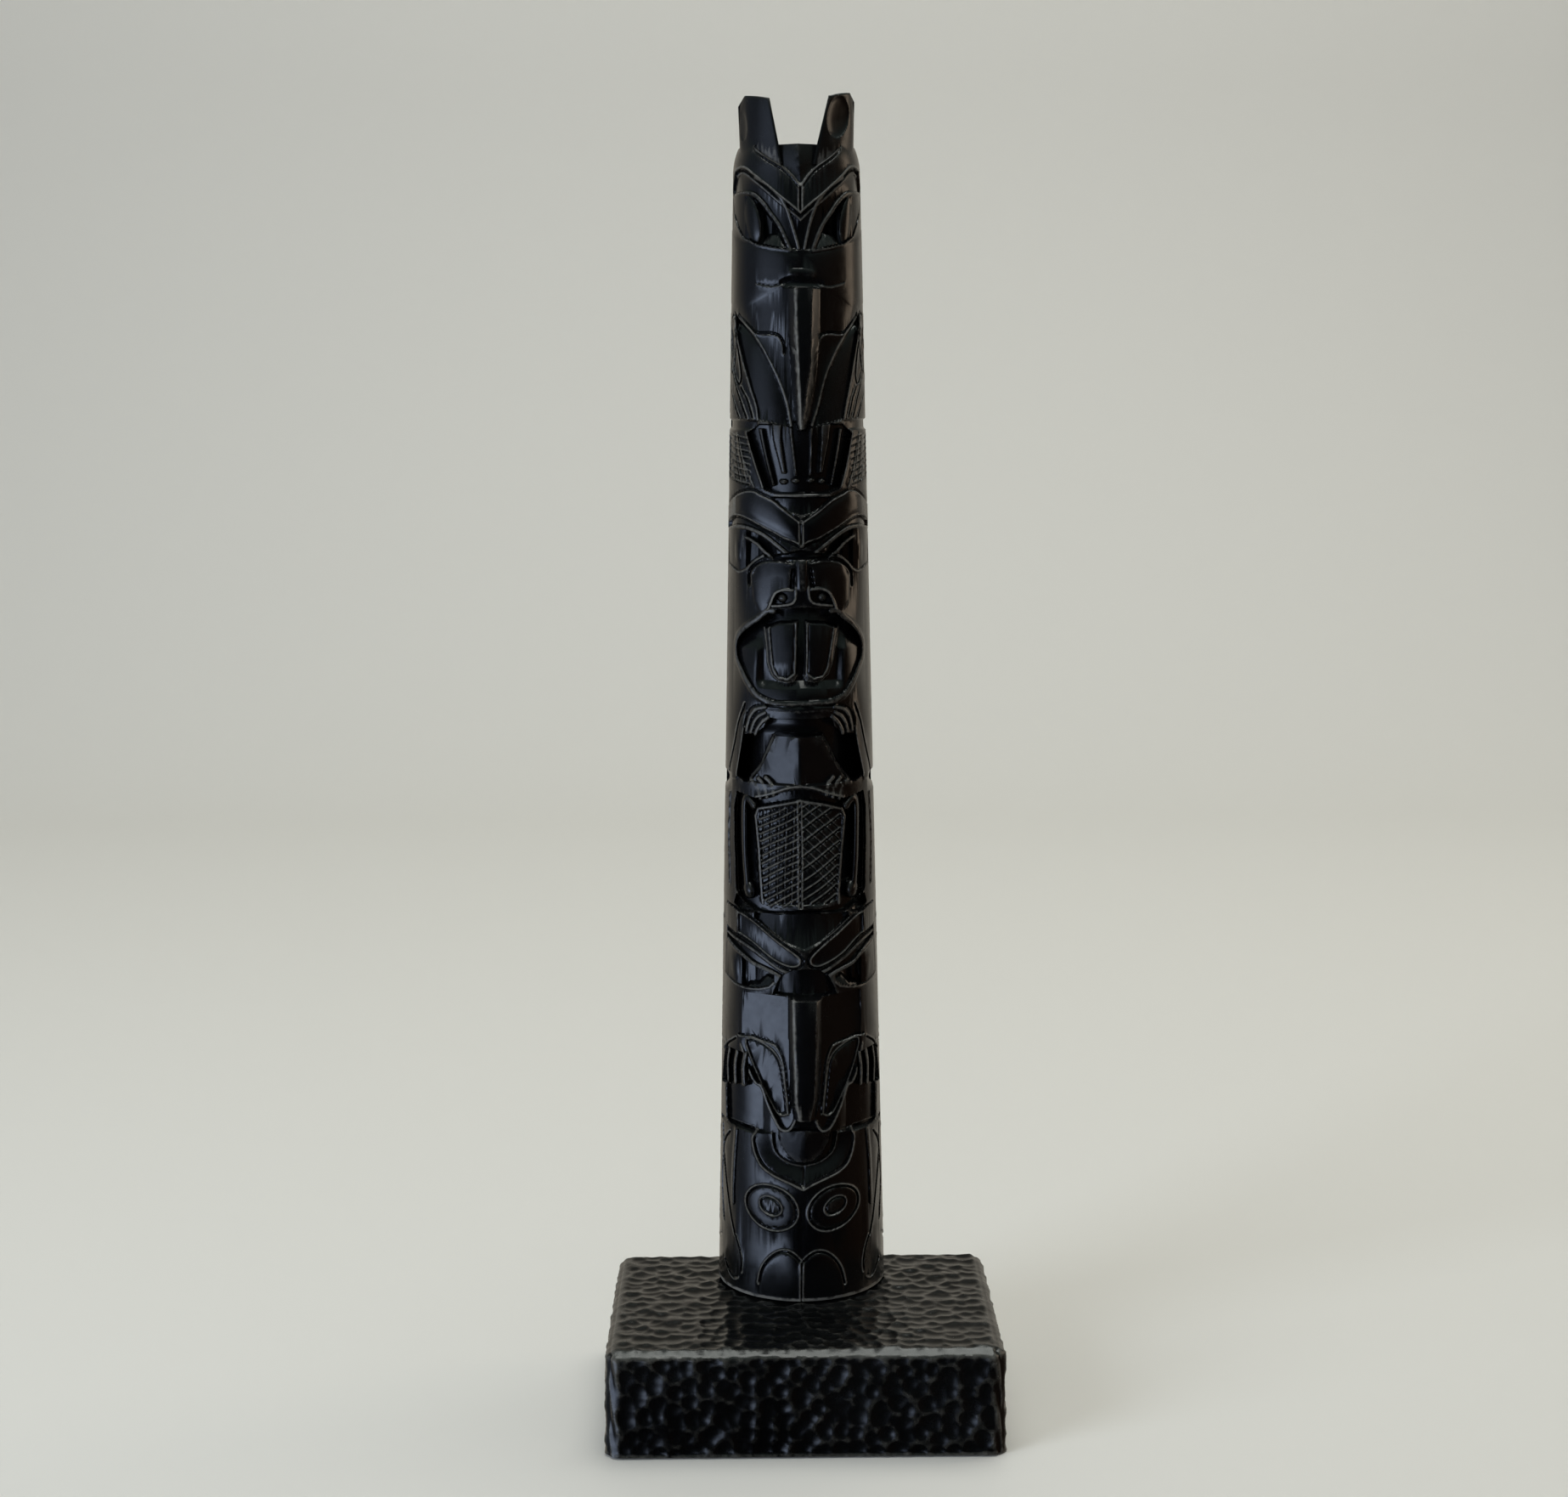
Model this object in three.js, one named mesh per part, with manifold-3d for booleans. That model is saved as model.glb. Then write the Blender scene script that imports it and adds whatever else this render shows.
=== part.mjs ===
import * as THREE from "three";
import { mergeVertices } from "three/addons/utils/BufferGeometryUtils.js";
import Module from "manifold-3d";

// A totem pole ornament in cast black resin: one pole of stacked figures on its own hewn plinth.
// Millimetres, +Z up. The origin is the middle of the plinth's underside and the figures face -Y.

// Plinth.
const plinthWidth = 120;
const plinthDepth = 90;
const plinthHeight = 33;
const plinthDraft = 0.4; // how far each side leans in from foot to top
const plinthChamfer = 2.2;
const hewnStep = 12; // spacing of the hewn facets
const hewnDepth = 0.55;

// Pole: a D-shaped section with a half-elliptical front, short straight sides and a flat back.
const seatGap = 0.3; // between the plinth's top and the pole's foot
const poleFoot = plinthHeight + seatGap;
const headTop = 386; // floor of the notch between the ears
const earTop = 402;
const footHalfWidth = 26.5;
const taper = 0.0208; // half-width lost per millimetre of height
const frontRatio = 29 / 26.5; // depth of the elliptical front over the half-width
const depthRatio = 42 / 26.5; // whole depth over the half-width
const poleBack = 39;
const sideTurn = 40; // the straight sides run from a turn of 90 to 130
const frontFacets = 12;
const blockReach = 60; // how far an outline is carried along Y
const blockBack = 8; // how far in front of the pole's back it ends
const earThickness = 16;
const earLean = 8; // degrees that the ears' backs lean forward

// How deep the main carving levels lie below the pole's round face.
const bandDepth = 0.9;
const chestDepth = 2.6;
const socketDepth = 4;
const mouthDepth = 6;
const hollowDepth = 6.5;
const lineDepth = 0.7;
const lineHalfWidth = 0.55;

const wasm = await Module();
wasm.setup();

// ---------- solids ----------

function signedVolume(points, faces) {
  let six = 0;
  const corner = (i) => new THREE.Vector3().fromArray(points, 3 * faces[i]);
  for (let i = 0; i < faces.length; i += 3) {
    six += corner(i).dot(corner(i + 1).cross(corner(i + 2)));
  }
  return six / 6;
}

// A closed geometry as a solid that faces out.
function solidFrom(geometry) {
  const loose = new THREE.BufferGeometry();
  const source = geometry.index ? geometry.toNonIndexed() : geometry;
  loose.setAttribute("position", source.getAttribute("position"));
  const closed = mergeVertices(loose, 1e-4);
  const points = closed.getAttribute("position").array;
  const faces = new Uint32Array(closed.index.array);
  if (signedVolume(points, faces) < 0) faces.reverse();
  return new wasm.Manifold(new wasm.Mesh({ numProp: 3, vertProperties: points, triVerts: faces }));
}

// Rings of equally many points joined in turn, with flat caps triangulated from a plan of the ring.
function loft(rings, plan) {
  const count = rings[0].length;
  const geometry = new THREE.BufferGeometry().setFromPoints(rings.flat());
  const faces = [];
  for (let low = 0; low + 1 < rings.length; low++) {
    for (let i = 0; i < count; i++) {
      const a = low * count + i;
      const b = low * count + ((i + 1) % count);
      faces.push(a, b, b + count, a, b + count, a + count);
    }
  }
  const flat = plan ?? rings[0].map((p) => new THREE.Vector2(p.x, p.y));
  const last = (rings.length - 1) * count;
  for (const [a, b, c] of THREE.ShapeUtils.triangulateShape(flat, [])) {
    const turned = THREE.ShapeUtils.area([flat[a], flat[b], flat[c]]) * THREE.ShapeUtils.area(flat);
    const [p, q, r] = turned > 0 ? [a, b, c] : [a, c, b];
    faces.push(p, r, q, last + p, last + q, last + r);
  }
  geometry.setIndex(faces);
  return solidFrom(geometry);
}

// ---------- the pole's skin ----------

const halfWidth = (z) => footHalfWidth - taper * (z - plinthHeight);
const frontCentre = (z) => poleBack - (depthRatio - frontRatio) * halfWidth(z);
const frontFace = (z) => poleBack - depthRatio * halfWidth(z);

// A point of the skin: turn is the angle round the elliptical front, 0 at its middle and 90 where
// the straight side starts; lift moves it outwards.
function skin(turn, z, lift) {
  const half = halfWidth(z);
  const angle = THREE.MathUtils.degToRad(turn);
  if (Math.abs(turn) <= 90) {
    const y = frontCentre(z) - (frontRatio * half + lift) * Math.cos(angle);
    return new THREE.Vector3((half + lift) * Math.sin(angle), y, z);
  }
  const along = (Math.abs(turn) - 90) / sideTurn;
  const y = frontCentre(z) + along * (poleBack - frontCentre(z));
  return new THREE.Vector3(Math.sign(turn) * (half + lift), y, z);
}

// The turn at which a point seen from the front at x lies on the skin.
function turnAt(x, z) {
  const sine = THREE.MathUtils.clamp(x / halfWidth(z), -1, 1);
  return THREE.MathUtils.radToDeg(Math.asin(sine));
}

// The pole's section carried up through levels of [z, rise]. A rise moves the elliptical front
// towards -Y by that much at its middle, and by less and less towards the straight sides.
function skinSolid(levels) {
  const rings = levels.map(([z, rise]) => {
    const ring = [];
    for (let i = 0; i <= frontFacets; i++) {
      const point = skin(-90 + (180 * i) / frontFacets, z, 0);
      point.y -= rise * Math.sin((Math.PI * i) / frontFacets);
      ring.push(point);
    }
    ring.push(skin(90 + sideTurn, z, 0), skin(-90 - sideTurn, z, 0));
    return ring;
  });
  return loft(rings);
}

// Points [x, z] seen from the front, as [turn, z].
const wrap = (points) => points.map(([x, z]) => [turnAt(x, z), z]);
const mirror = (points) => points.map(([across, z]) => [-across, z]);

// A half outline that starts and ends near the middle, closed by its mirror image.
const whole = (half) => [...half, ...mirror(half).reverse().filter(([x]) => x !== 0)];

// A smooth curve through points, with a number of steps between its ends.
function smooth(points, steps) {
  const through = points.map(([x, z]) => new THREE.Vector3(x, z, 0));
  return new THREE.CatmullRomCurve3(through, false, "centripetal").getPoints(steps).map((p) => [p.x, p.y]);
}

// An oval [x, z] outline: its long half-axis leans outwards by lean degrees.
function oval(centreX, centreZ, halfAcross, halfUp, lean, steps) {
  const tilt = THREE.MathUtils.degToRad(lean);
  return Array.from({ length: steps }, (_, i) => {
    const angle = (2 * Math.PI * i) / steps;
    const across = halfAcross * Math.cos(angle);
    const up = halfUp * Math.sin(angle);
    const x = centreX + across * Math.cos(tilt) + up * Math.sin(tilt);
    return [x, centreZ - across * Math.sin(tilt) + up * Math.cos(tilt)];
  });
}

// A block with an outline of [x, z] that runs along Y from well in front of the pole into it.
function block(outline) {
  const shape = new THREE.Shape(outline.map(([x, z]) => new THREE.Vector2(x, z)));
  const slab = new THREE.ExtrudeGeometry(shape, { depth: blockReach, bevelEnabled: false });
  slab.rotateX(Math.PI / 2);
  slab.translate(0, poleBack - blockBack, 0);
  return solidFrom(slab);
}

// A bar whose section [across, up] follows a path of [turn, z] on the skin.
function bar(path, section, lift = 0) {
  const points = path.map(([turn, z]) => skin(turn, z, lift));
  const rings = points.map((point, i) => {
    const [turn, z] = path[i];
    const ahead = points[Math.min(i + 1, points.length - 1)];
    const behind = points[Math.max(i - 1, 0)];
    const along = ahead.clone().sub(behind).normalize();
    const normal = skin(turn, z, lift + 1).sub(point).normalize();
    const across = new THREE.Vector3().crossVectors(along, normal).normalize();
    const up = new THREE.Vector3().crossVectors(across, along);
    return section.map(([a, u]) => point.clone().addScaledVector(across, a).addScaledVector(up, u));
  });
  return loft(rings, section.map(([a, u]) => new THREE.Vector2(a, u)));
}

const notch = (width, depth) => [[-width, 0.6 * depth], [0, -depth], [width, 0.6 * depth]];
const bead = (width, height) => [[-width, -1.5], [0, height], [width, -1.5]];

const levelsOf = (outline, level) => {
  if (Array.isArray(level)) return level;
  const heights = outline.map(([, z]) => z);
  return [[Math.min(...heights) - 1, level], [Math.max(...heights) + 1, level]];
};

// The pole while it is carved. Outlines and paths are [x, z] seen from the front, and each call
// works on both sides unless the outline crosses the middle.
class Carving {
  constructor(solid) {
    this.solid = solid;
  }
  add(piece) {
    this.solid = this.solid.add(piece);
  }
  cut(piece) {
    this.solid = this.solid.subtract(piece);
  }
  raiseOne(outline, level) {
    this.add(block(outline).intersect(skinSolid(levelsOf(outline, level))));
  }
  sinkOne(outline, level) {
    this.cut(block(outline).subtract(skinSolid(levelsOf(outline, level))));
  }
  raise(outline, level) {
    for (const half of [outline, mirror(outline)]) this.raiseOne(half, level);
  }
  sink(outline, level) {
    for (const half of [outline, mirror(outline)]) this.sinkOne(half, level);
  }
  bead(path, width, height, lift = 0) {
    for (const half of [path, mirror(path)]) this.add(bar(wrap(half), bead(width, height), lift));
  }
  line(path, lift = 0, width = lineHalfWidth, depth = lineDepth) {
    for (const half of [path, mirror(path)]) this.cut(bar(wrap(half), notch(width, depth), lift));
  }
  flankLine(path, lift = 0, width = lineHalfWidth, depth = lineDepth) {
    for (const half of [path, mirror(path)]) this.cut(bar(half, notch(width, depth), lift));
  }
  // A domed oval eye whose rim lies at the socket's floor.
  eye(centreX, centreZ, halfAcross, halfUp, lean, floor, crown) {
    for (const side of [-1, 1]) {
      const turn = side * turnAt(centreX, centreZ);
      const dome = new THREE.SphereGeometry(1, 8, 5);
      dome.scale(halfAcross, crown - floor + 1, halfUp);
      dome.rotateY(THREE.MathUtils.degToRad(side * lean));
      dome.rotateZ(THREE.MathUtils.degToRad(turn));
      const at = skin(turn, centreZ, floor - 1);
      dome.translate(at.x, at.y, at.z);
      this.add(solidFrom(dome));
    }
  }
}

// A bill standing out of the face: stations of [z, half-width of its flat front, half-width of
// its root, how far it stands proud, how far it is to the right].
function bill(stations) {
  const rings = stations.map(([z, tip, root, proud, aside]) => {
    const face = frontFace(z);
    const at = (x, y) => new THREE.Vector3(x + aside, y, z);
    return [
      at(-root, face + 6), at(root, face + 6), at(root, face + 0.6),
      at(tip, face - proud), at(-tip, face - proud), at(-root, face + 0.6),
    ];
  });
  return loft(rings);
}

// ---------- top bird, z 303 to 402 ----------

function earPair() {
  const front = [[4.4, 384], [5.3, headTop], [9.2, 400.4], [15.9, earTop], [17.5, 399], [17, 384]];
  const shell = skinSolid([[383, -1.8], [earTop + 1, -2]]);
  const back = new THREE.BoxGeometry(2 * blockReach, blockReach, blockReach);
  back.translate(0, blockReach / 2, 0);
  back.rotateX(THREE.MathUtils.degToRad(-earLean));
  back.translate(0, frontFace(headTop) + earThickness, headTop);
  const earBack = solidFrom(back);
  const pieces = [];
  for (const side of [-1, 1]) {
    const ear = block(front.map(([x, z]) => [side * x, z])).intersect(shell);
    const scoop = new THREE.SphereGeometry(1, 8, 5);
    scoop.scale(3.1, 1.7, 4.7);
    scoop.rotateZ(THREE.MathUtils.degToRad(side * 30));
    const at = skin(side * turnAt(11.9, 393), 393, -1.6);
    scoop.translate(at.x, at.y, at.z);
    pieces.push(ear.subtract(earBack).subtract(solidFrom(scoop)));
  }
  return pieces;
}

function carveTopBird(pole) {
  const upperV = [[0, 373.8], [3.2, 377.3], [8.2, 381.5], [13.2, 385]];
  const lowerV = [[0, 366.4], [3.9, 369.6], [8.6, 373.8], [13.4, 378.2], [18.6, 380.4]];
  const browEdge = smooth([[2.6, 355.2], [5.7, 361.4], [8.8, 367], [13.9, 371.3], [18.6, 372]], 4);
  const forehead = whole([...upperV, [13.4, headTop + 1]]);
  pole.sinkOne(forehead, [[372, -1.4], [headTop + 2, -2.6]]);

  // Band between the lower V and the curved brow edge, then the socket and its eye.
  const bandTop = lowerV.map(([x, z]) => [x, z - 1]);
  const bandFoot = [...browEdge.slice(0, -1)].reverse();
  pole.sinkOne(whole([...bandTop, [18.8, 373.6], ...bandFoot, [0, 354.6]]), -bandDepth);
  pole.bead(browEdge, 0.8, 0.9, -bandDepth);
  pole.bead([[0.8, 357.5], [2.9, 364.4], [9.3, 373.9]], 0.6, 0.8, -bandDepth);
  const lid = [[18.2, 366], [16.4, 359], [13, 356.2], [3.4, 354.6]];
  pole.sink([...browEdge.map(([x, z]) => [x + 0.5, z - 0.8]), ...lid], -socketDepth);
  pole.eye(14.3, 364.2, 3.5, 7.8, 18, -2.2, 0.1);
  pole.line([[0, 366.4], [0, 373.8]]);

  // Nose and the dark gap above the bill.
  pole.sinkOne(whole([[0, 346.6], [5.2, 346.2], [5.6, 344.4], [0, 344]]), -2.2);
  pole.bead([[0, 348], [3, 348]], 1.2, 0.8);

  // The lower beak stands as a pointed shield over the sunk chest, between the wings.
  const jaw = [
    [19, 337.4], [15, 331.5], [11.2, 325], [8.2, 319.8], [5.9, 314.5], [4.5, 309], [3.6, 302.6],
  ];
  const wing = [[13, 304.6], [13.9, 311], [16.3, 320], [17.6, 329], [19, 336.4]];
  pole.sink([...jaw, ...wing], -chestDepth);
  pole.line([[4.2, 325.4], [5.4, 330], [13.7, 330.4], [17.4, 335.6]]);
  pole.add(bill([
    [301.6, 0.5, 1.3, 1.8, 1.2], [304.5, 0.6, 2.2, 3.2, 1.1], [316, 1, 3.6, 4, 0.9],
    [332, 1.6, 5, 3.8, 0.6], [344, 2, 5.4, 3, 0.4],
  ]));

  // Feathers on the wings and the flanks.
  for (const turn of [62, 98]) {
    pole.flankLine([[turn + 6, 333], [turn - 8, 307]]);
  }
  pole.flankLine([[52, 305.6], [88, 305.2], [122, 306]], 0, 0.9, 1);
}

// ---------- tail fan, z 282 to 303 ----------

function carveFan(pole) {
  pole.sinkOne(whole([[0, 283], [8, 283], [11.6, 284.6], [15, 301.4], [12.4, 303.6], [0, 304]]),
    [[281, -3.4], [305, -1.4]]);
  const feathers = [[[12.4, 302.6], [9.4, 284.6]], [[7.8, 303], [5.8, 286.4]], [[3.1, 302.4], [2.2, 286.6]]];
  for (const feather of feathers) {
    pole.bead(feather, 1, 2.2, -2.4);
  }
  pole.sink([[16, 287], [20.4, 286.6], [20.2, 299.8], [18.7, 299.4]], -0.7);
  pole.line([[16.1, 301], [14, 284.6]]);
  pole.sinkOne(whole([[0, 275], [2.5, 276.4], [6.9, 279.3], [9.6, 281], [8, 282.4], [0, 282.4]]), -bandDepth);
}

// ---------- beaver, z 155 to 284 ----------

function carveBeaverHead(pole) {
  const browTop = [
    [0.3, 274], [6.9, 278.6], [12, 281.7], [15.7, 283.4], [19.5, 282.2], [21.2, 279.6],
  ];
  const browFoot = [
    [21.2, 274.2], [18.5, 275.4], [14.8, 274.2], [10.2, 272.2], [4.5, 269.4], [0.3, 267],
  ];
  pole.raise([...browTop, ...browFoot], [[266, 0.1], [272, 1], [279, 1], [285, 0.1]]);
  const ridge = smooth([[3.8, 264.8], [8.8, 266], [12.4, 269], [16.4, 271.6], [20.8, 271]], 4);
  const band = browFoot.map(([x, z]) => [x, z - 0.8]).reverse();
  pole.sinkOne(whole([[0, 266.2], ...band, [20.8, 271.4], ...[...ridge].reverse(), [0, 264]]), -bandDepth);
  pole.bead(ridge, 0.7, 0.9, -bandDepth);
  const lid = [[20.8, 261.4], [18.6, 258.6], [15.7, 259.7], [12.4, 263.2], [9.7, 263.9]];
  pole.sink([...ridge.slice(1).map(([x, z]) => [x + 0.3, z - 0.9]), ...lid], -socketDepth);
  pole.eye(18.7, 264.7, 3, 6, 6, -1.8, 0.2);
  pole.line([[0, 267.4], [0, 273.6]], 0.6);
  pole.sinkOne(whole([[0, 262.8], [8.6, 263.2], [9.2, 264.6], [4, 264.6], [0, 266]]), -2.4);
  pole.line([[8.8, 263.1], [11.6, 262.3], [14.4, 258.6]], 0, 0.8, 1.1);

  // Muzzle: nose bridge, nostrils, the open mouth with its rim, and two broad teeth.
  pole.bead([[0, 262], [0, 254]], 1.5, 0.9);
  pole.sink([[2, 253.8], [6.8, 254.2], [8.8, 252.2], [9.9, 248.9], [3.4, 249.6], [2, 250.6]], -1.6);
  const upperLip = [[0, 248.8], [9.6, 247.8], [11.5, 246], [14.8, 244.4], [18, 241]];
  const lowerLip = [
    [19.5, 237.6], [18.7, 231], [15.6, 224], [12.6, 220.6], [9.4, 219.4], [0, 218.9],
  ];
  pole.bead([...upperLip.slice(2), ...lowerLip.slice(0, -1)], 1, 0.6);
  pole.sinkOne(whole([...upperLip, ...lowerLip]),
    [[218, -1], [226, -3.6], [243, -mouthDepth], [250, -mouthDepth]]);
  const tooth = [[0.8, 244.6], [10.9, 243], [9.8, 231], [7.6, 226.4], [2, 225.6], [0.8, 227]];
  pole.raise(tooth, [[224, -1.5], [246, -3.4]]);
  pole.line([[1.9, 243.4], [1.9, 228.2], [6.8, 227.6], [9.4, 242.4]], -2.4, 0.4, 0.5);
}

function carveBeaverBody(pole) {
  // Hollow between the arms, with the clasped paws across its top and the belly inside it.
  pole.line([[0, 217.9], [10, 218]], -0.4, 0.6, 1.2);
  const armpit = [
    [0, 214.4], [9.8, 214.4], [11, 211.8], [13.4, 209.6], [17.3, 209], [19.4, 196.4], [16.8, 194.8],
    [0, 194.6],
  ];
  pole.sinkOne(whole(armpit), -hollowDepth);
  const torso = [
    [0, 209.5], [7.5, 209.5], [10.6, 201.8], [14.8, 195], [14.2, 190.6], [6, 193], [0, 193.6],
  ];
  pole.raiseOne(whole(torso), [[189, -0.3], [211, -1.8]]);
  for (const x of [11.6, 13.8]) {
    pole.line([[x - 0.6, 216.6], [x + 1.4, 210.6]], 0, 0.4, 0.6);
  }
  pole.raise([[16.6, 216.4], [18.4, 214.6], [22, 197.6], [21.8, 194.8], [19.9, 195], [17.6, 209.6]], 0.5);
  pole.flankLine([[60, 218], [68, 214], [84, 194.4]], 0.2, 0.8, 0.9);
  pole.flankLine([[70, 193.4], [92, 193], [104, 198]], 0.2, 1.4, 1.3);

  // Hind legs either side of the flat scaled tail.
  const lap = [
    [0, 193.4], [6, 192.8], [13.6, 190.4], [19.4, 190.8], [19.9, 186], [19.8, 161], [18.4, 157.6],
    [14.3, 154.9], [0, 154.9],
  ];
  pole.sinkOne(whole(lap), -3.4);
  const tail = [[0, 189.8], [7, 188.9], [13.4, 186.8], [14.2, 184], [11.4, 157.6], [0, 156.2]];
  pole.raiseOne(whole(tail), -bandDepth);
  pole.bead([[17.2, 193], [17.7, 186], [17, 172], [16.1, 160]], 1.9, 2.8, -3.2);
  pole.bead([[8.6, 194.6], [12, 195.2], [15, 193]], 1.6, 0.7, -0.6);
  pole.line([[12.7, 185.6], [10.6, 158.6]], -bandDepth);
  pole.line([[0, 189], [0, 157]], -bandDepth);
  // Scales: cuts that rise to the right on both halves.
  for (let z = 162; z < 186; z += 7) {
    const reach = 10.2 + 0.085 * (z - 158);
    pole.cut(bar(wrap([[-reach, z - 2.4], [-0.4, z + 2.2]]), notch(0.4, 0.45), -bandDepth));
    pole.cut(bar(wrap([[0.4, z - 1.6], [reach, z + 4.2]]), notch(0.4, 0.45), -bandDepth));
  }
}

// ---------- third bird, z 86 to 155 ----------

function carveThirdBird(pole) {
  const browTop = [[1.4, 142.3], [6.4, 145], [11.4, 148.5], [15.9, 152], [19, 155.6], [22.4, 155]];
  const browFoot = [[22.4, 148.6], [16.6, 144.2], [12, 141.5], [7.5, 139.4], [3, 138.2], [1, 139.6]];
  pole.raise([...browTop, ...browFoot], [[137, 0.1], [142, 1], [150, 1], [157, 0]]);
  const ridge = [[22.4, 142.4], [18.4, 141.2], [14.3, 138.8], [9.4, 137.6], [5, 135.6]];
  const underBrow = [[2, 137.4], [7.5, 138.6], [12, 140.6], [16.6, 143.3], [22.4, 147.6]];
  pole.sink([...underBrow, ...ridge], -bandDepth);
  pole.bead(ridge, 0.7, 0.9, -bandDepth);
  pole.sink([
    [8.8, 132.7], [9.6, 136.6], [14.3, 138], [18, 140.4], [22.2, 141.6], [22.9, 136], [21, 131],
    [16.7, 130.9], [13.4, 131],
  ], -socketDepth);
  pole.eye(20.1, 135.9, 3.1, 5.3, 8, -1.8, 0.2);
  pole.sinkOne(whole([[0, 137.6], [3, 137.2], [6.6, 135], [8.2, 132.2], [9.6, 129.2], [0, 128.8]]), -3.4);

  // Broad bill with a flat ridge that hooks down at its tip.
  pole.add(bill([
    [88, 1, 3, 0.2, 0.6], [91, 2, 4, 1.8, 0.6], [97, 3.2, 5, 2.6, 0.6], [112, 3.6, 5.4, 2.8, 0.6],
    [128.4, 3.9, 5.6, 2.2, 0.6],
  ]));
  pole.line([[5, 92.8], [5.4, 105], [7.4, 112], [18.6, 115.6]]);
  pole.line([[7.4, 92.6], [11.1, 99.3], [16.4, 113.4]]);

  // Claws at the sides, and the square recess under them.
  pole.sink([
    [13.9, 100.8], [17.5, 99.6], [21.6, 98], [21.8, 86], [9, 85.7], [7.6, 88.6], [11.4, 96.2],
  ], -chestDepth);
  pole.sink([[17, 108.6], [23.4, 109.4], [24, 99], [17.4, 100.4]], -1.4);
  for (const x of [18.2, 20.6, 22.8]) {
    pole.bead([[x - 0.4, 109], [x, 99.2]], 0.8, 1.5, -1.4);
  }
  pole.sinkOne(whole([[0, 87.4], [3, 87.4], [7.9, 88.6], [9.4, 86.4], [9.2, 84.7], [0, 84.7]]), -1.4);

  // Folded wing along each flank.
  for (const turn of [90, 110]) {
    pole.flankLine([[turn - 4, 146 - 0.1 * turn], [turn + 2, 112]]);
  }
  pole.flankLine([[76, 112], [100, 108.6], [126, 111]], 0, 0.9, 1);
}

// ---------- bottom figure, z 33 to 86 ----------

function carveBottomFigure(pole) {
  const bowl = smooth([[0, 69.2], [5.9, 71.5], [10.3, 73.4], [13.4, 76.4], [15.1, 80.2], [15.6, 85]], 6);
  pole.bead(bowl, 0.8, 0.5);
  pole.sinkOne(whole([...bowl, [0, 85.4]]), [[68, -0.6], [76, -1.4], [86, -2]]);
  const scoop = smooth([[0, 76], [5, 76.4], [8.6, 78.6], [10.4, 82], [10.6, 85.2]], 5);
  pole.sinkOne(whole([...scoop, [0, 85.4]]), [[75, -1.6], [86, -4.4]]);
  pole.raiseOne(whole([[0, 76.6], [3.4, 76.8], [6.6, 81], [7.6, 86.6], [0, 86.8]]), [[75, -1.4], [88, -1.8]]);
  pole.line([[0, 69.6], [0, 76.2]], -0.6);
  pole.line([[15.8, 85.4], [23, 85.6]], 0, 0.8, 1);

  pole.sink(oval(9.9, 62.4, 8.3, 6.7, -25, 10), -0.7);
  pole.raise(oval(9.9, 62.4, 7.1, 5.5, -25, 10), 0.2);
  pole.sink(oval(10.1, 62.6, 3.3, 2.1, -28, 6), -0.5);
  pole.line(smooth([[13.4, 38], [12, 42.5], [7.5, 48.2], [2.5, 47.7], [0, 45]], 6));
  pole.line([[0, 45], [0, poleFoot - 0.5]]);

  // Fins along the flanks.
  pole.bead([[20.6, 84.4], [21.4, 74], [21.8, 61]], 1, 0.8);
  pole.line([[21.1, 50.6], [18.8, 43], [22, 37], [24.4, 40.6]]);
  pole.flankLine([[84, 82], [74, 52]]);
  pole.flankLine([[70, 48], [96, 43], [122, 46]], 0, 0.8, 0.9);
}

// ---------- the two pieces ----------

function totemPole() {
  const blank = skinSolid([[poleFoot, 0], [380, 0], [headTop, -1.7]]);
  const pole = new Carving(blank);
  for (const ear of earPair()) pole.add(ear);
  carveFan(pole);
  carveTopBird(pole);
  carveBeaverHead(pole);
  carveBeaverBody(pole);
  carveThirdBird(pole);
  carveBottomFigure(pole);
  return pole.solid;
}

// The same numbers every time, between 0 and 1.
function scatter(seed) {
  let state = seed;
  return () => {
    state = (state * 1103515245 + 12345) % 2147483648;
    return state / 2147483648;
  };
}

// A box grid whose skin points are pressed in by uneven amounts, as hewn with a small adze.
function plinth() {
  const columns = Math.round(plinthWidth / hewnStep);
  const rows = Math.round(plinthDepth / hewnStep);
  const layers = Math.round(plinthHeight / hewnStep);
  const box = new THREE.BoxGeometry(plinthWidth, plinthDepth, plinthHeight, columns, rows, layers);
  box.translate(0, 0, plinthHeight / 2);
  box.deleteAttribute("normal");
  box.deleteAttribute("uv");
  const shell = mergeVertices(box, 1e-3);
  const spots = shell.getAttribute("position");
  const random = scatter(11);
  const near = (value, limit) => Math.abs(Math.abs(value) - limit) < 1e-3;
  for (let i = 0; i < spots.count; i++) {
    const spot = new THREE.Vector3().fromBufferAttribute(spots, i);
    const onSide = near(spot.x, plinthWidth / 2);
    const onFace = near(spot.y, plinthDepth / 2);
    const onTop = near(spot.z, plinthHeight);
    const atFoot = near(spot.z, 0);
    const press = hewnDepth * random();
    const shiftA = hewnStep * 0.3 * (random() - 0.5);
    const shiftB = hewnStep * 0.3 * (random() - 0.5);
    const lean = (plinthDraft * spot.z) / plinthHeight;
    const underPole = Math.abs(spot.x) < footHalfWidth + 3 && spot.y > frontFace(plinthHeight) - 3;
    if (!onSide && !atFoot) spot.x += shiftA;
    if (!onFace && !atFoot) spot.y += shiftB;
    if (onSide) spot.x -= Math.sign(spot.x) * (lean + (atFoot ? 0 : press));
    if (onFace) spot.y -= Math.sign(spot.y) * (lean + (atFoot ? 0 : press));
    if (onTop && !(underPole && spot.y < poleBack + 3)) spot.z -= press;
    spots.setXYZ(i, spot.x, spot.y, spot.z);
  }
  return solidFrom(shell).intersect(chamferedBox());
}

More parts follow.
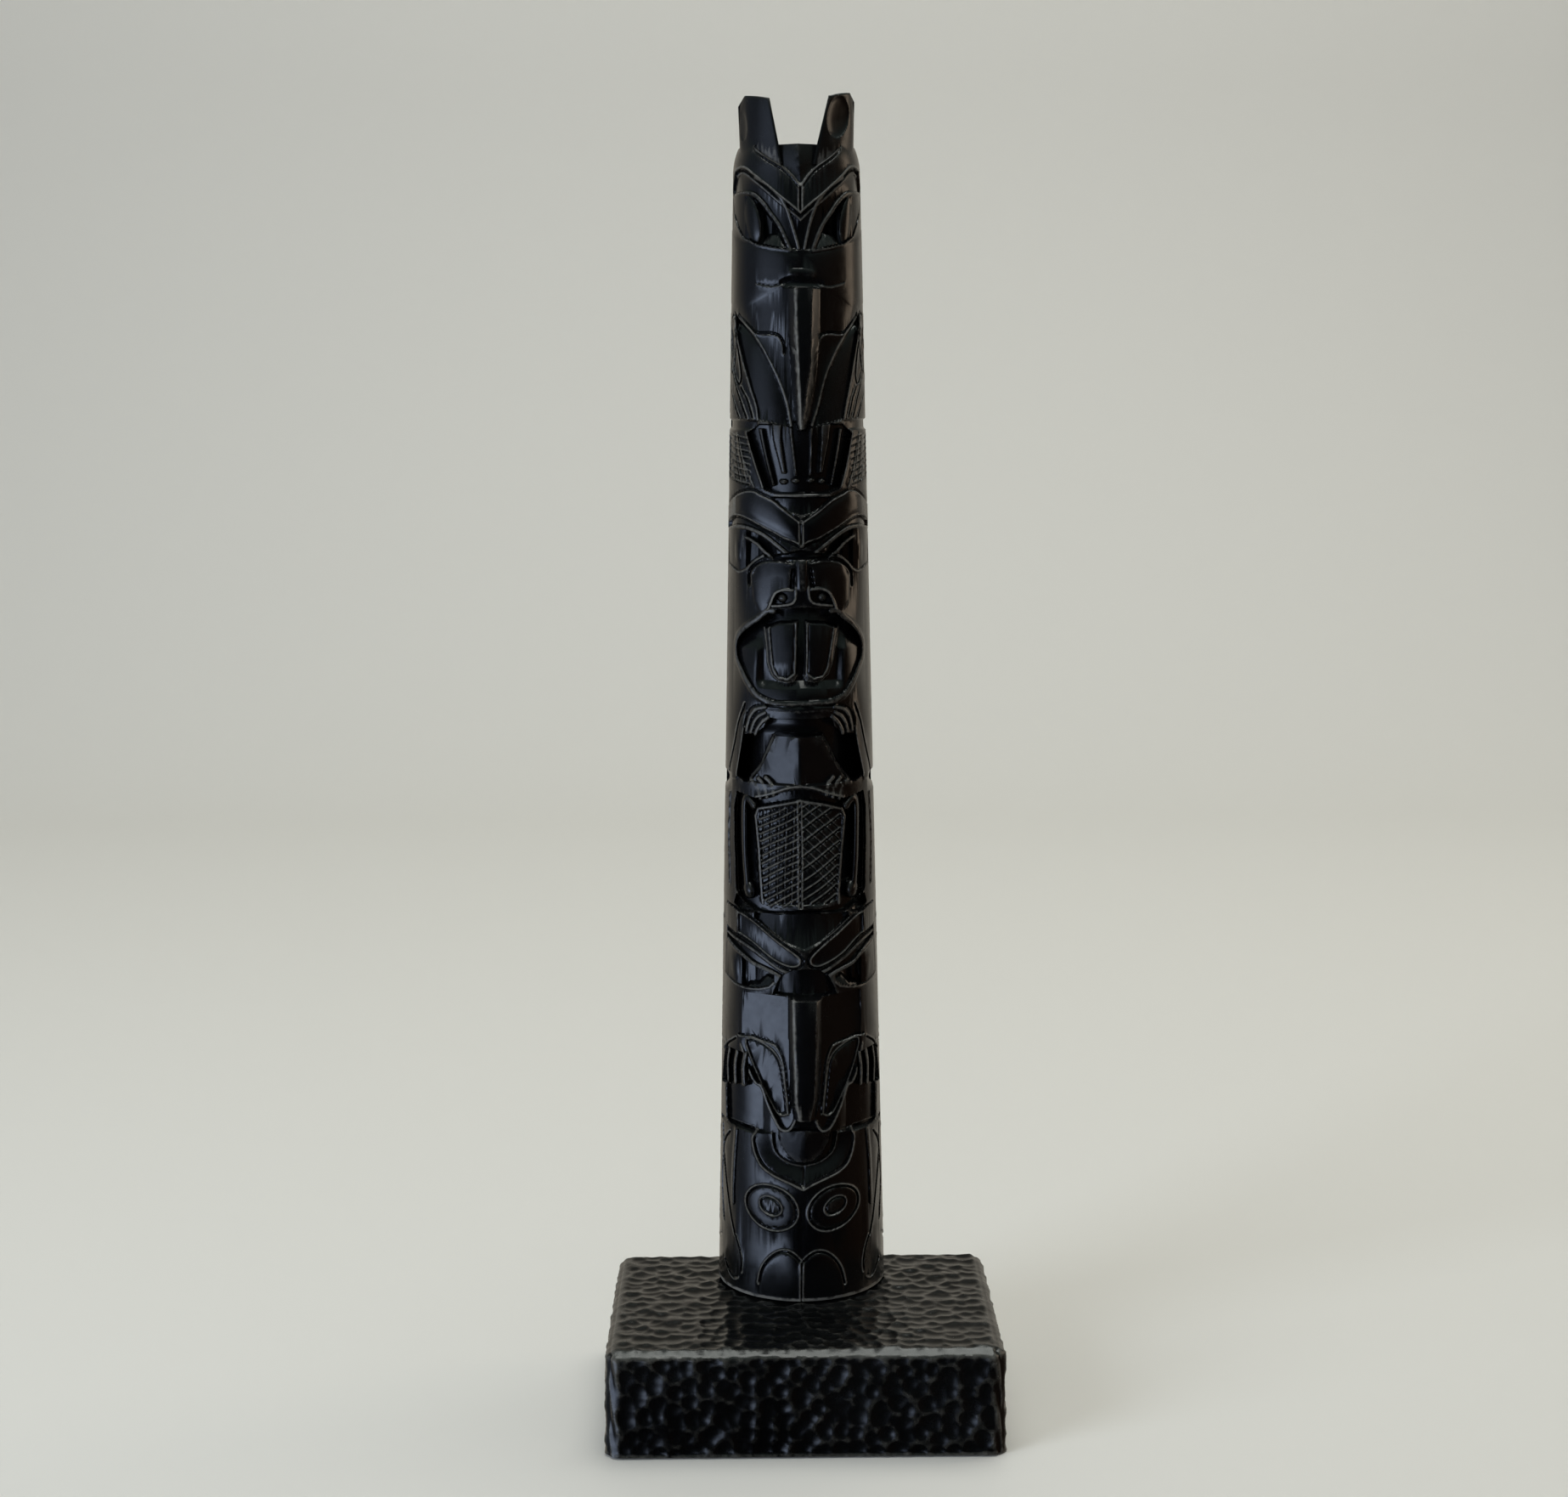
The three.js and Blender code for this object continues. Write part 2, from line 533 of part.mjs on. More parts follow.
// The plinth's envelope: a box with its upper edges and upright corners cut off at a slant.
function chamferedBox() {
  const cut = plinthChamfer;
  const ring = (inset, z) => {
    const x = plinthWidth / 2 - inset;
    const y = plinthDepth / 2 - inset;
    const corner = [[x - cut, y], [x, y - cut]];
    const turned = [[1, 1], [1, -1], [-1, -1], [-1, 1]];
    return turned.flatMap(([sx, sy]) => {
      const two = corner.map(([px, py]) => new THREE.Vector3(sx * px, sy * py, z));
      return sx * sy > 0 ? two : two.reverse();
    });
  };
  return loft([ring(0, 0), ring(plinthDraft, plinthHeight - cut), ring(cut, plinthHeight)]);
}

function meshOf(solid, name, material) {
  const { vertProperties, triVerts, numProp } = solid.getMesh();
  const points = new Float32Array((vertProperties.length / numProp) * 3);
  for (let i = 0; i < points.length / 3; i++) {
    points.set(vertProperties.subarray(i * numProp, i * numProp + 3), 3 * i);
  }
  const geometry = new THREE.BufferGeometry();
  geometry.setAttribute("position", new THREE.BufferAttribute(points, 3));
  geometry.setIndex(new THREE.BufferAttribute(new Uint32Array(triVerts), 1));
  geometry.computeVertexNormals();
  const mesh = new THREE.Mesh(geometry, material);
  mesh.name = name;
  return mesh;
}

const polishedResin = new THREE.MeshStandardMaterial({ color: 0x0b0b0d, roughness: 0.28, metalness: 0 });
const hewnResin = new THREE.MeshStandardMaterial({ color: 0x0a0b0d, roughness: 0.34, metalness: 0 });

const group = new THREE.Group();
group.add(meshOf(plinth(), "plinth", hewnResin));
group.add(meshOf(totemPole(), "totem_pole", polishedResin));

export default group;
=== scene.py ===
import math

import bpy
import numpy as np
from mathutils import Matrix, Vector


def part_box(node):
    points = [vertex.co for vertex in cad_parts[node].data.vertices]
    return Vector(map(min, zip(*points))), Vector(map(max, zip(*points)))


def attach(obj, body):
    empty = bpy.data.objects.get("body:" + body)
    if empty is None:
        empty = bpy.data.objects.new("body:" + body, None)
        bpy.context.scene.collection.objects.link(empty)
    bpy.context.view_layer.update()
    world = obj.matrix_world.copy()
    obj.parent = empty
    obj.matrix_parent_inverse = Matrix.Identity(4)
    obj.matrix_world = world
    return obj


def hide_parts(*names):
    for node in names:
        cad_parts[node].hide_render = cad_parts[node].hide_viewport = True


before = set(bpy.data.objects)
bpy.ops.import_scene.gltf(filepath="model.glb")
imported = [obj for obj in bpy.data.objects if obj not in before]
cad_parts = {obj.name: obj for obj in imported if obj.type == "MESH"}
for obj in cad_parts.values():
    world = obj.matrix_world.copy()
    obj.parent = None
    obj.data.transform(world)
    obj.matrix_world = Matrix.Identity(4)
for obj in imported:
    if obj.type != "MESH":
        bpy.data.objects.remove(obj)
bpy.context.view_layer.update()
poleLow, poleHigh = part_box("totem_pole")
plinthLow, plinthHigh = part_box("plinth")
mm = 0.001
root = bpy.context.scene.collection
print("frame loaded")


cameraSpec = {
    "ahead": 725.5,  # mm in front of the plinth's front face
    "aside": -12.7,
    "up": 313.5,
    "pitch": 7.93,
    "yaw": -0.571,
    "roll": -0.30,
    "sensor": 36.0,
    "lens": 59.05,
    "clip": (0.01, 50.0),
}


def makeCamera(spec):
    data = bpy.data.cameras.new("camera")
    data.sensor_width = spec["sensor"]
    data.lens = spec["lens"]
    data.clip_start, data.clip_end = spec["clip"]
    camera = bpy.data.objects.new("camera", data)
    root.objects.link(camera)
    turned = (
        Matrix.Rotation(math.radians(spec["yaw"]), 4, "Z")
        @ Matrix.Rotation(math.radians(90 - spec["pitch"]), 4, "X")
        @ Matrix.Rotation(math.radians(spec["roll"]), 4, "Z")
    )
    place = (spec["aside"] * mm, plinthLow.y - spec["ahead"] * mm, spec["up"] * mm)
    camera.matrix_world = Matrix.Translation(place) @ turned
    bpy.context.scene.camera = camera


makeCamera(cameraSpec)


# A mesh object from points in millimetres and faces that all have as many corners.
def meshObject(name, points, quads):
    mesh = bpy.data.meshes.new(name)
    mesh.vertices.add(len(points))
    mesh.vertices.foreach_set("co", (np.asarray(points) * mm).astype(np.float32).ravel())
    quads = np.asarray(quads)
    mesh.loops.add(quads.size)
    mesh.loops.foreach_set("vertex_index", quads.astype(np.int32).ravel())
    mesh.polygons.add(len(quads))
    mesh.polygons.foreach_set("loop_start", np.arange(0, quads.size, quads.shape[1], dtype=np.int32))
    mesh.update(calc_edges=True)
    mesh.validate()
    thing = bpy.data.objects.new(name, mesh)
    root.objects.link(thing)
    return thing


# Quads between the rows of a grid whose columns close on themselves.
def tubeQuads(rows, columns):
    row, column = np.meshgrid(np.arange(rows - 1), np.arange(columns), indexing="ij")
    after = (column + 1) % columns
    low = row * columns
    high = low + columns
    return np.stack([low + column, low + after, high + after, high + column], -1).reshape(-1, 4)


# The object's mesh with its modifiers worked in.
def settle(thing):
    graph = bpy.context.evaluated_depsgraph_get()
    done = bpy.data.meshes.new_from_object(thing.evaluated_get(graph))
    old = thing.data
    name = old.name
    thing.modifiers.clear()
    thing.data = done
    bpy.data.meshes.remove(old)
    done.name = name


# Vertices closer than a distance in millimetres made one.
def mergeClose(thing, distance):
    weld = thing.modifiers.new("weld", "WELD")
    weld.merge_threshold = distance * mm
    settle(thing)


# The others joined to the thing as one closed solid.
def unite(thing, others):
    for other in others:
        join = thing.modifiers.new("join", "BOOLEAN")
        join.operation = "UNION"
        join.solver = "MANIFOLD"
        join.object = other
        settle(thing)
        bpy.data.objects.remove(other)


# Fewer faces where the surface is flattest, down to that many triangles.
def thin(thing, triangles):
    thing.data.calc_loop_triangles()
    now = len(thing.data.loop_triangles)
    if now > triangles:
        fewer = thing.modifiers.new("fewer", "DECIMATE")
        fewer.ratio = triangles / now
        settle(thing)


# Three numbers for each vertex: its place, or its normal.
def readVertices(vertices, name):
    values = np.empty(len(vertices) * 3, np.float32)
    vertices.foreach_get(name, values)
    return values.reshape(-1, 3)


# How sharply the surface turns at each vertex: for every edge, the difference of its ends' normals
# along the edge over its length, averaged over the vertex's edges. Outward edges are positive.
def turnOfSurface(mesh):
    count = len(mesh.vertices)
    places = readVertices(mesh.vertices, "co")
    normals = readVertices(mesh.vertex_normals, "vector")
    edges = np.empty(len(mesh.edges) * 2, np.int32)
    mesh.edges.foreach_get("vertices", edges)
    a, b = edges.reshape(-1, 2).T
    step = places[b] - places[a]
    long = np.maximum((step**2).sum(1), 1e-14)
    bend = ((normals[b] - normals[a]) * step).sum(1) / long * mm
    total = np.bincount(a, bend, count) + np.bincount(b, bend, count)
    edgesAt = np.bincount(a, minlength=count) + np.bincount(b, minlength=count)
    turn = total / np.maximum(edgesAt, 1)
    spread = np.bincount(a, turn[b], count) + np.bincount(b, turn[a], count)
    return 0.5 * turn + 0.5 * spread / np.maximum(edgesAt, 1)


def storeOnVertices(mesh, name, values):
    layer = mesh.attributes.new(name, "FLOAT", "POINT")
    layer.data.foreach_set("value", np.asarray(values, np.float32))


# Smooth shading that breaks at edges sharper than the angle in degrees.
def shadeSmooth(mesh, breakAt):
    mesh.polygons.foreach_set("use_smooth", np.ones(len(mesh.polygons), bool))
    mesh.set_sharp_from_angle(angle=math.radians(breakAt))
    mesh.update()


# Fewer faces, smooth shading, and the surface's turn kept for its finish.
def finishMesh(thing, spec):
    thin(thing, spec["triangles"])
    shadeSmooth(thing.data, spec["breakAt"])
    storeOnVertices(thing.data, "turn", turnOfSurface(thing.data))


# Millimetres. The section is a D: half an ellipse in front, short straight sides and a flat back.
poleSpec = {
    "taper": 0.0208,  # half-width lost per millimetre of height
    "frontRatio": 29 / 26.5,  # depth of the elliptical front over the half-width
    "depthRatio": 42 / 26.5,  # whole depth over the half-width
    "headTop": 386.0,
    "shoulder": (379.0, 0.075, 0.6),  # where the head starts to draw in, its share at the top, and in depth
    "step": 0.27,  # spacing of the working grid in front
    "sideStep": 0.62,
    "straightFrom": (60.0, 80.0),  # turns between which carving goes over from -Y to the skin's normal
    "leastFacing": 0.42,  # least cosine between the way carving is moved and the skin's normal
    "cornerRadius": 1.6,
    "cornerIn": 0.3,
    "backColumns": 44,
    "backIn": 0.15,  # how far the back stays inside its box, and how much it wanders
    "sideStops": 0.9,  # how far before the back the sides' columns end
    "caps": (0.985, 0.965, 0.9, 0.8, 0.66, 0.5, 0.32, 0.14, 0.0),  # rings that close each end, as shares
    "weld": 0.002,
    "triangles": 192000,
    "breakAt": 32,
    "uneven": (0.12, 0.14),  # a hand's wander, aside and in height
    # How far the middle of each carved form lies to the right of the pole's own, by height.
    "seam": [
        (33, -0.4), (50, -0.3), (62, 0.1), (72, 0.5), (90, 1.0), (142, 1.1), (152, 0.3), (160, -0.2),
        (190, -0.2), (209, -0.5), (216, 0.0), (230, 0.15), (250, 0.9), (262, 0.5), (275, 0.6), (286, 1.2),
        (301, 0.7), (309, 1.2), (322, 0.8), (330, 0.5), (345, 1.1), (366, 0.9), (374, 0.8), (386, 0.1),
    ],
    "seamFades": (14.0, 24.0),  # distances along the skin between which that offset goes to nothing
    # Most that anything stands proud, by turn: the flanks keep a straight outline.
    "proud": [(0, 9.0), (25, 5.0), (45, 1.2), (62, 0.4), (75, 0.1), (130, 0.1)],
}
sideTurns = 40  # turns given to each straight side, after the 90 degrees round the front
poleFoot = poleLow.z / mm
poleBack = poleHigh.y / mm
footHalf = poleHigh.x / mm


def halfWidth(z):
    return footHalf - poleSpec["taper"] * (z - poleFoot)


def straightSide(z):
    return (poleSpec["depthRatio"] - poleSpec["frontRatio"]) * halfWidth(z)


# How far ahead of the ellipse's middle the skin stands, for a point seen from the front at x.
def skinAhead(x, z):
    half = halfWidth(z)
    return poleSpec["frontRatio"] * half * np.sqrt(np.clip(1 - (x / half) ** 2, 0, 1))


# Distance along the skin from the middle of the front, for a point seen from the front at x.
def acrossAt(x, z):
    half = halfWidth(z)
    return half * np.arcsin(np.clip(x / half, -1, 1))


# The same for a turn in degrees: up to 90 round the ellipse, and on from there along the side.
def acrossTurn(turn, z):
    front = halfWidth(z) * np.radians(np.minimum(turn, 90))
    return front + straightSide(z) * np.maximum(turn - 90, 0) / sideTurns


# Outlines drawn as (x, z) from the front, or as (turn, z) round the side, laid along the skin.
def seen(points):
    points = np.asarray(points, float)
    return np.stack([acrossAt(points[:, 0], points[:, 1]), points[:, 1]], 1)


def turned(points):
    points = np.asarray(points, float)
    return np.stack([acrossTurn(points[:, 0], points[:, 1]), points[:, 1]], 1)


# A curve through points: each stretch is the Catmull-Rom cubic of its two ends and their neighbours.
def curve(points, steps=4):
    p = np.asarray(points, float)
    p = np.vstack([2 * p[0] - p[1], p, 2 * p[-1] - p[-2]])
    t = np.linspace(0, 1, steps, endpoint=False)[:, None]
    a, b, c, d = p[:-3, None], p[1:-2, None], p[2:-1, None], p[3:, None]
    square, cube = 2 * a - 5 * b + 4 * c - d, 3 * b - a - 3 * c + d
    drawn = 0.5 * (2 * b + (c - a) * t + square * t**2 + cube * t**3)
    return np.vstack([drawn.reshape(-1, 2), p[-2]])


# 3 t squared less 2 t cubed, from 0 to 1.
def smoothStep(t):
    t = np.clip(t, 0, 1)
    return t * t * (3 - 2 * t)


# A plain number, or one read at each height from (height, value) stations.
def byHeight(value, z):
    if isinstance(value, (list, tuple)):
        heights, values = zip(*value)
        return np.interp(z, heights, values)
    return value


# A level read at each distance aside from (x, level) stations.
def byAside(stations):
    places, levels = zip(*stations)
    return lambda x, z: np.interp(x, places, levels)


# A level that makes a flat facet: height h0 on the line x0 and h1 on x1, straight between them in plan.
def facet(x0, h0, x1, h1):
    def level(x, z):
        first = skinAhead(x0, z) + byHeight(h0, z)
        last = skinAhead(x1, z) + byHeight(h1, z)
        return first + (last - first) * (x - x0) / (x1 - x0) - skinAhead(x, z)

    return level


toolSpec = {
    "lipOut": (1.25, 0.1),  # how far a lip's crest lies from its groove, in widths and millimetres
    "lipSpread": 0.07,
    "ridgeSpread": 0.12,
    # A bill's left edge takes the stronger mark, a painted highlight of the light from the left; the right
    # edge's is the tool's faint rough mark.
    "ridgeHighlightAndMark": (1.3, 0.35),  # a bill's two edges, left and right
}


# One half of the pole's carving, from the middle of the front round to the middle of the back.
# It is a field of heights over (distance along the skin, z), and each call works on the rows it needs.
# The mark is a second field: 1 on the rims and lips that the carving tool left rough; on the bills' left
# edges it is stronger, a painted highlight where the light from the left catches them.
# Outlines are drawn as seen from the front, or with mapped=turned round the side.
class Relief:
    def __init__(self, side):
        z = np.arange(poleFoot, poleSpec["headTop"], poleSpec["step"])
        self.z = np.append(z[:-1], poleSpec["headTop"])
        self.side = side
        front = np.linspace(0, 90, int(math.pi / 2 * footHalf / poleSpec["step"]) + 1)
        count = int(straightSide(poleFoot) / poleSpec["sideStep"]) + 1
        straight = np.linspace(90, 90 + sideTurns, count)
        self.turn = np.concatenate([front, straight[1:]])
        turn, self.height = np.meshgrid(self.turn, self.z)
        across = acrossTurn(turn, self.height)
        signed = side * across
        # Read at slightly shifted places: the forms' own middle, and a hand's unevenness.
        near, far = poleSpec["seamFades"]
        aside, up = poleSpec["uneven"]
        shift = byHeight(poleSpec["seam"], self.height) * (1 - smoothStep((across - near) / (far - near)))
        uneven = aside * np.sin(0.21 * self.height + 0.11 * signed) * np.sin(0.35 * signed + 1)
        self.signed = signed - shift + uneven
        self.s = np.abs(self.signed)
        self.zRead = self.height + up * np.sin(0.17 * self.height + 0.3 * signed + 3.3)
        half = halfWidth(self.height)
        self.x = half * np.sin(np.minimum(self.s / half, math.pi / 2))
        self.h = np.zeros(self.s.shape)
        self.mark = np.zeros(self.s.shape)

    # The rows of the grid that an outline reaches, with a margin.
    def rows(self, points, margin):
        low, high = np.min(points[:, 1]) - margin - 0.2, np.max(points[:, 1]) + margin + 0.2
        first = max(int(np.searchsorted(self.z, low)), 0)
        last = min(int(np.searchsorted(self.z, high)), len(self.z))
        return slice(first, last)

    # Distance from each place to a polyline, positive to the left of its run.
    def away(self, part, points):
        s, z = self.s[part], self.zRead[part]
        best = np.full(s.shape, 1e9)
        left = np.ones(s.shape)
        for (s0, z0), (s1, z1) in zip(points[:-1], points[1:]):
            ds, dz = s1 - s0, z1 - z0
            t = np.clip(((s - s0) * ds + (z - z0) * dz) / (ds * ds + dz * dz + 1e-9), 0, 1)
            apart = (s - s0 - t * ds) ** 2 + (z - z0 - t * dz) ** 2
            nearer = apart < best
            best = np.where(nearer, apart, best)
            left = np.where(nearer, np.where(ds * (z - z0) > dz * (s - s0), 1.0, -1.0), left)
        return np.sqrt(best) * left

    # Signed distance to a closed outline, positive inside by the even-odd rule.
    def within(self, part, points):
        points = points.copy()
        points[np.abs(points[:, 0]) < 0.01, 0] = -4.0
        ring = np.vstack([points, points[:1]])
        s, z = self.s[part], self.zRead[part]
        odd = np.zeros(s.shape, bool)
        for (s0, z0), (s1, z1) in zip(ring[:-1], ring[1:]):
            if z0 != z1:
                odd ^= ((z0 > z) != (z1 > z)) & (s < s0 + (s1 - s0) * (z - z0) / (z1 - z0))
        distance = np.abs(self.away(part, ring))
        return np.where(odd, distance, -distance)

    # The rows that an outline reaches, and the distance inside it there.
    def inside(self, outline, margin, mapped=seen):
        points = mapped(outline)
        part = self.rows(points, margin)
        return part, self.within(part, points)

    def level(self, part, level):
        if callable(level):
            return level(self.x[part], self.zRead[part])
        return byHeight(level, self.zRead[part])

    # Down to a level inside the outline, over a wall edge millimetres wide.
    def sink(self, outline, level, edge=0.4, mapped=seen):
        part, distance = self.inside(outline, edge, mapped)
        cover = smoothStep(0.5 + distance / edge)
        self.h[part] -= cover * np.maximum(self.h[part] - self.level(part, level), 0)
        self.mark[part] *= 1 - cover

    # Up to a level inside the outline.
    def raiseTo(self, outline, level, edge=0.4):
        part, distance = self.inside(outline, edge)
        cover = smoothStep(0.5 + distance / edge)
        self.h[part] += cover * np.maximum(self.level(part, level) - self.h[part], 0)

    # A cushion on the present surface: a quarter-round of radius soft at its outline, flat within.
    def pillow(self, outline, height, soft):
        part, distance = self.inside(outline, 0.1)
        t = np.clip(distance / soft, 0, 1)
        self.h[part] += height * np.sqrt(1 - (1 - t) ** 2)

    # A cushion that stands from a level of its own: the greater of it and the present surface.
    def mound(self, outline, base, height, soft):
        part, distance = self.inside(outline, 0.4)
        t = np.clip(distance / soft, 0, 1)
        top = self.level(part, base) + height * np.sqrt(1 - (1 - t) ** 2)
        self.h[part] = np.where(distance > 0, np.maximum(self.h[part], top), self.h[part])

    # A round ridge along a path: height times the root of 1 - (distance / width) squared.
    def bead(self, path, width, height, base=None, mark=0.5):
        points = seen(path)
        part = self.rows(points, width)
        swell = np.sqrt(np.clip(1 - (self.away(part, points) / width) ** 2, 0, 1))
        top = (self.h[part] if base is None else self.level(part, base)) + height * swell
        self.h[part] = np.where(swell > 0, np.maximum(self.h[part], top), self.h[part])
        self.mark[part] = np.maximum(self.mark[part], mark * np.clip(swell * 3 - 2, 0, 1))

    # An incised line: a rounded V, with a raised rough lip to the left (1) or right (-1) of its run.
    def groove(self, path, width=0.4, depth=0.5, lip=1, rise=0.2, mark=1.0, mapped=seen):
        points = mapped(path)
        part = self.rows(points, 4 * width)
        apart = self.away(part, points)
        self.h[part] -= depth * np.clip(1 - np.abs(apart) / width, 0, 1) ** 0.7
        widths, gap = toolSpec["lipOut"]
        fromCrest = np.clip(apart * lip, 0, None) - widths * width - gap
        lipShare = np.exp(-(fromCrest**2) / toolSpec["lipSpread"])
        self.h[part] += rise * lipShare
        self.mark[part] = np.maximum(self.mark[part], mark * lipShare)

    # An oval mound: from its floor at the rim to its crown, as the root of 1 - radius squared.
    def dome(self, centre, semi, lean, floor, crown):
        u, v, inside, part = self.ovalPlaces(centre, semi, lean, seen)
        top = floor + (crown - floor) * np.sqrt(np.clip(1 - u * u - v * v, 0, 1))
        self.h[part] = np.where(inside, np.maximum(self.h[part], top), self.h[part])

    # An oval scoop taken out of the present surface.
    def scoop(self, centre, semi, lean, depth, mapped):
        u, v, inside, part = self.ovalPlaces(centre, semi, lean, mapped)
        self.h[part] -= np.where(inside, depth * np.clip(1 - u * u - v * v, 0, 1) ** 0.7, 0)

    # Places in an oval's own axes, as shares of its half-sizes.
    def ovalPlaces(self, centre, semi, lean, mapped):
        s0, z0 = mapped([centre])[0]
        part = self.rows(np.array([[s0, z0 - max(semi)], [s0, z0 + max(semi)]]), 0.5)
        tilt = math.radians(lean)
        ds, dz = self.s[part] - s0, self.zRead[part] - z0
        u = (ds * math.cos(tilt) - dz * math.sin(tilt)) / semi[0]
        v = (ds * math.sin(tilt) + dz * math.cos(tilt)) / semi[1]
        return u, v, u * u + v * v < 1, part

    # A bill: a flat-fronted ridge from stations of (z, half-width in front, half-width at its root,
    # proud, aside), aside being how far its middle lies to the right of the seam.
    def bill(self, stations, topSoft=0.8, footSoft=0.8):
        z, tip, base, proud, aside = (np.array(v, float) for v in zip(*stations))
        part = self.rows(np.array([[0, z[0]], [0, z[-1]]]), 0.5)
        height = self.zRead[part]
        apart = np.abs(self.signed[part] - np.interp(height, z, aside))
        wide, narrow = np.interp(height, z, base), np.interp(height, z, tip)
        slope = np.clip((wide - apart) / (wide - narrow), 0, 1)
        ends = smoothStep((height - z[0]) / footSoft + 0.5)
        ends = ends * smoothStep((z[-1] - height) / topSoft + 0.5)
        top = self.h[part] * (1 - ends) + np.interp(height, z, proud) * slope * ends
        self.h[part] = np.where(slope > 0, np.maximum(self.h[part], top), self.h[part])
        # Pale edges of the bill: the left one strong, a painted highlight of the light from the left, the
        # right one a faint tool mark.
        marks = np.where(self.signed[part] < np.interp(height, z, aside), *toolSpec["ridgeHighlightAndMark"])
        edge = marks * np.exp(-((apart - narrow) ** 2) / toolSpec["ridgeSpread"]) * ends
        self.mark[part] = np.maximum(self.mark[part], edge)


# The outline of an oval, its long axis leaning clockwise by that many degrees.
def ovalPath(centre, semi, lean):
    tilt = math.radians(lean)
    angle = np.linspace(0, 2 * math.pi, 36)
    u, v = semi[0] * np.cos(angle), semi[1] * np.sin(angle)
    x = centre[0] + u * math.cos(tilt) + v * math.sin(tilt)
    return np.stack([x, centre[1] - u * math.sin(tilt) + v * math.cos(tilt)], 1)


def shifted(points, dx, dz):
    return [(x + dx, z + dz) for x, z in points]


topBird = {
    "upperV": [(0, 373.4), (1.2, 374.8), (2.8, 377), (5.4, 379.6), (9.5, 382.4), (12.8, 385),
               (13.6, 386.4)],
    "lowerV": [(0, 365.9), (3, 368.5), (6.5, 371.3), (10, 374.5), (13.5, 377.8), (16.2, 380.2),
               (18.6, 379.6)],
    "ridge": [(0.9, 355.4), (1.5, 358), (3.2, 364), (4.9, 368.4), (7.2, 371.6), (9.8, 374.2),
              (13, 376.6)],
    "brow": [(3.4, 355.2), (6.2, 361.6), (9.2, 366), (11.3, 369), (14.3, 371.8), (18.9, 372)],
    "lid": [(18.9, 366), (16.8, 359), (13.2, 356.4), (8.4, 355.2), (3.4, 354.6)],
    "eyeDepth": [(3.4, -1.2), (6, -2.8), (8.5, -4.4), (11, -3.8), (12.6, -2.2), (14.2, -1.1),
                 (16, -0.35), (19, -0.15)],
    "eyeFloor": [(3.9, 354.8), (11.6, 356.6), (9.6, 359.4), (6.4, 359.8)],
    "cheek": [(1, 353.5), (9, 354.6), (16.5, 357.4), (20.4, 362), (20.6, 340), (16, 338), (1, 346.4)],
    "noseGap": [(-1, 346.4), (3.6, 346.3), (6.0, 345.4), (4.8, 344.2), (-1, 343.8)],
    "jaw": [(3.6, 302.6), (4.4, 306), (5.0, 308.5), (6.1, 312.5), (7.8, 317.5), (9.8, 322), (11.8, 326),
            (14.3, 330), (16.2, 332.5), (18.4, 336)],
    "wing": [(12.9, 304.8), (13.4, 308.4), (14.6, 313.2), (16.1, 319.5), (17.3, 325), (18.2, 330),
             (18.9, 337)],
    "mouth": [(4.8, 324.6), (4.8, 327), (6, 329.6), (8.5, 330.5), (12.8, 330.6), (15, 332.6),
              (17.8, 336)],
    "firstFeather": [(20.4, 336), (19.9, 326), (19.2, 319), (18, 315.4), (17.3, 318), (17.9, 324),
                     (18.9, 332)],
    "feathers": [
        [(14.6, 305.4), (16, 311), (17.4, 314.4)],
        [(16.2, 305.2), (17.8, 311), (19.6, 318), (20.9, 328)],
        [(18, 305.2), (19.4, 310), (21, 318)],
    ],
    "flankLoop": [(66, 334), (72, 336.6), (80, 334), (83, 326), (78, 319), (70, 321), (67, 328), (66, 334)],
    "flank": [
        [(92, 336), (100, 330), (101, 318), (94, 308)],
        [(106, 336), (114, 328), (114, 316), (108, 308)],
    ],
    "bill": [(301.4, 0.3, 1.3, 1.8, 0.2), (304.5, 0.5, 2.2, 3.2, 0.1), (312, 1.1, 3.2, 3.9, 0.1),
             (320, 1.9, 4.0, 4.1, 0.8), (330, 2.3, 4.8, 3.8, 1.2), (343.6, 2.5, 5.0, 3.0, 0.7)],
}


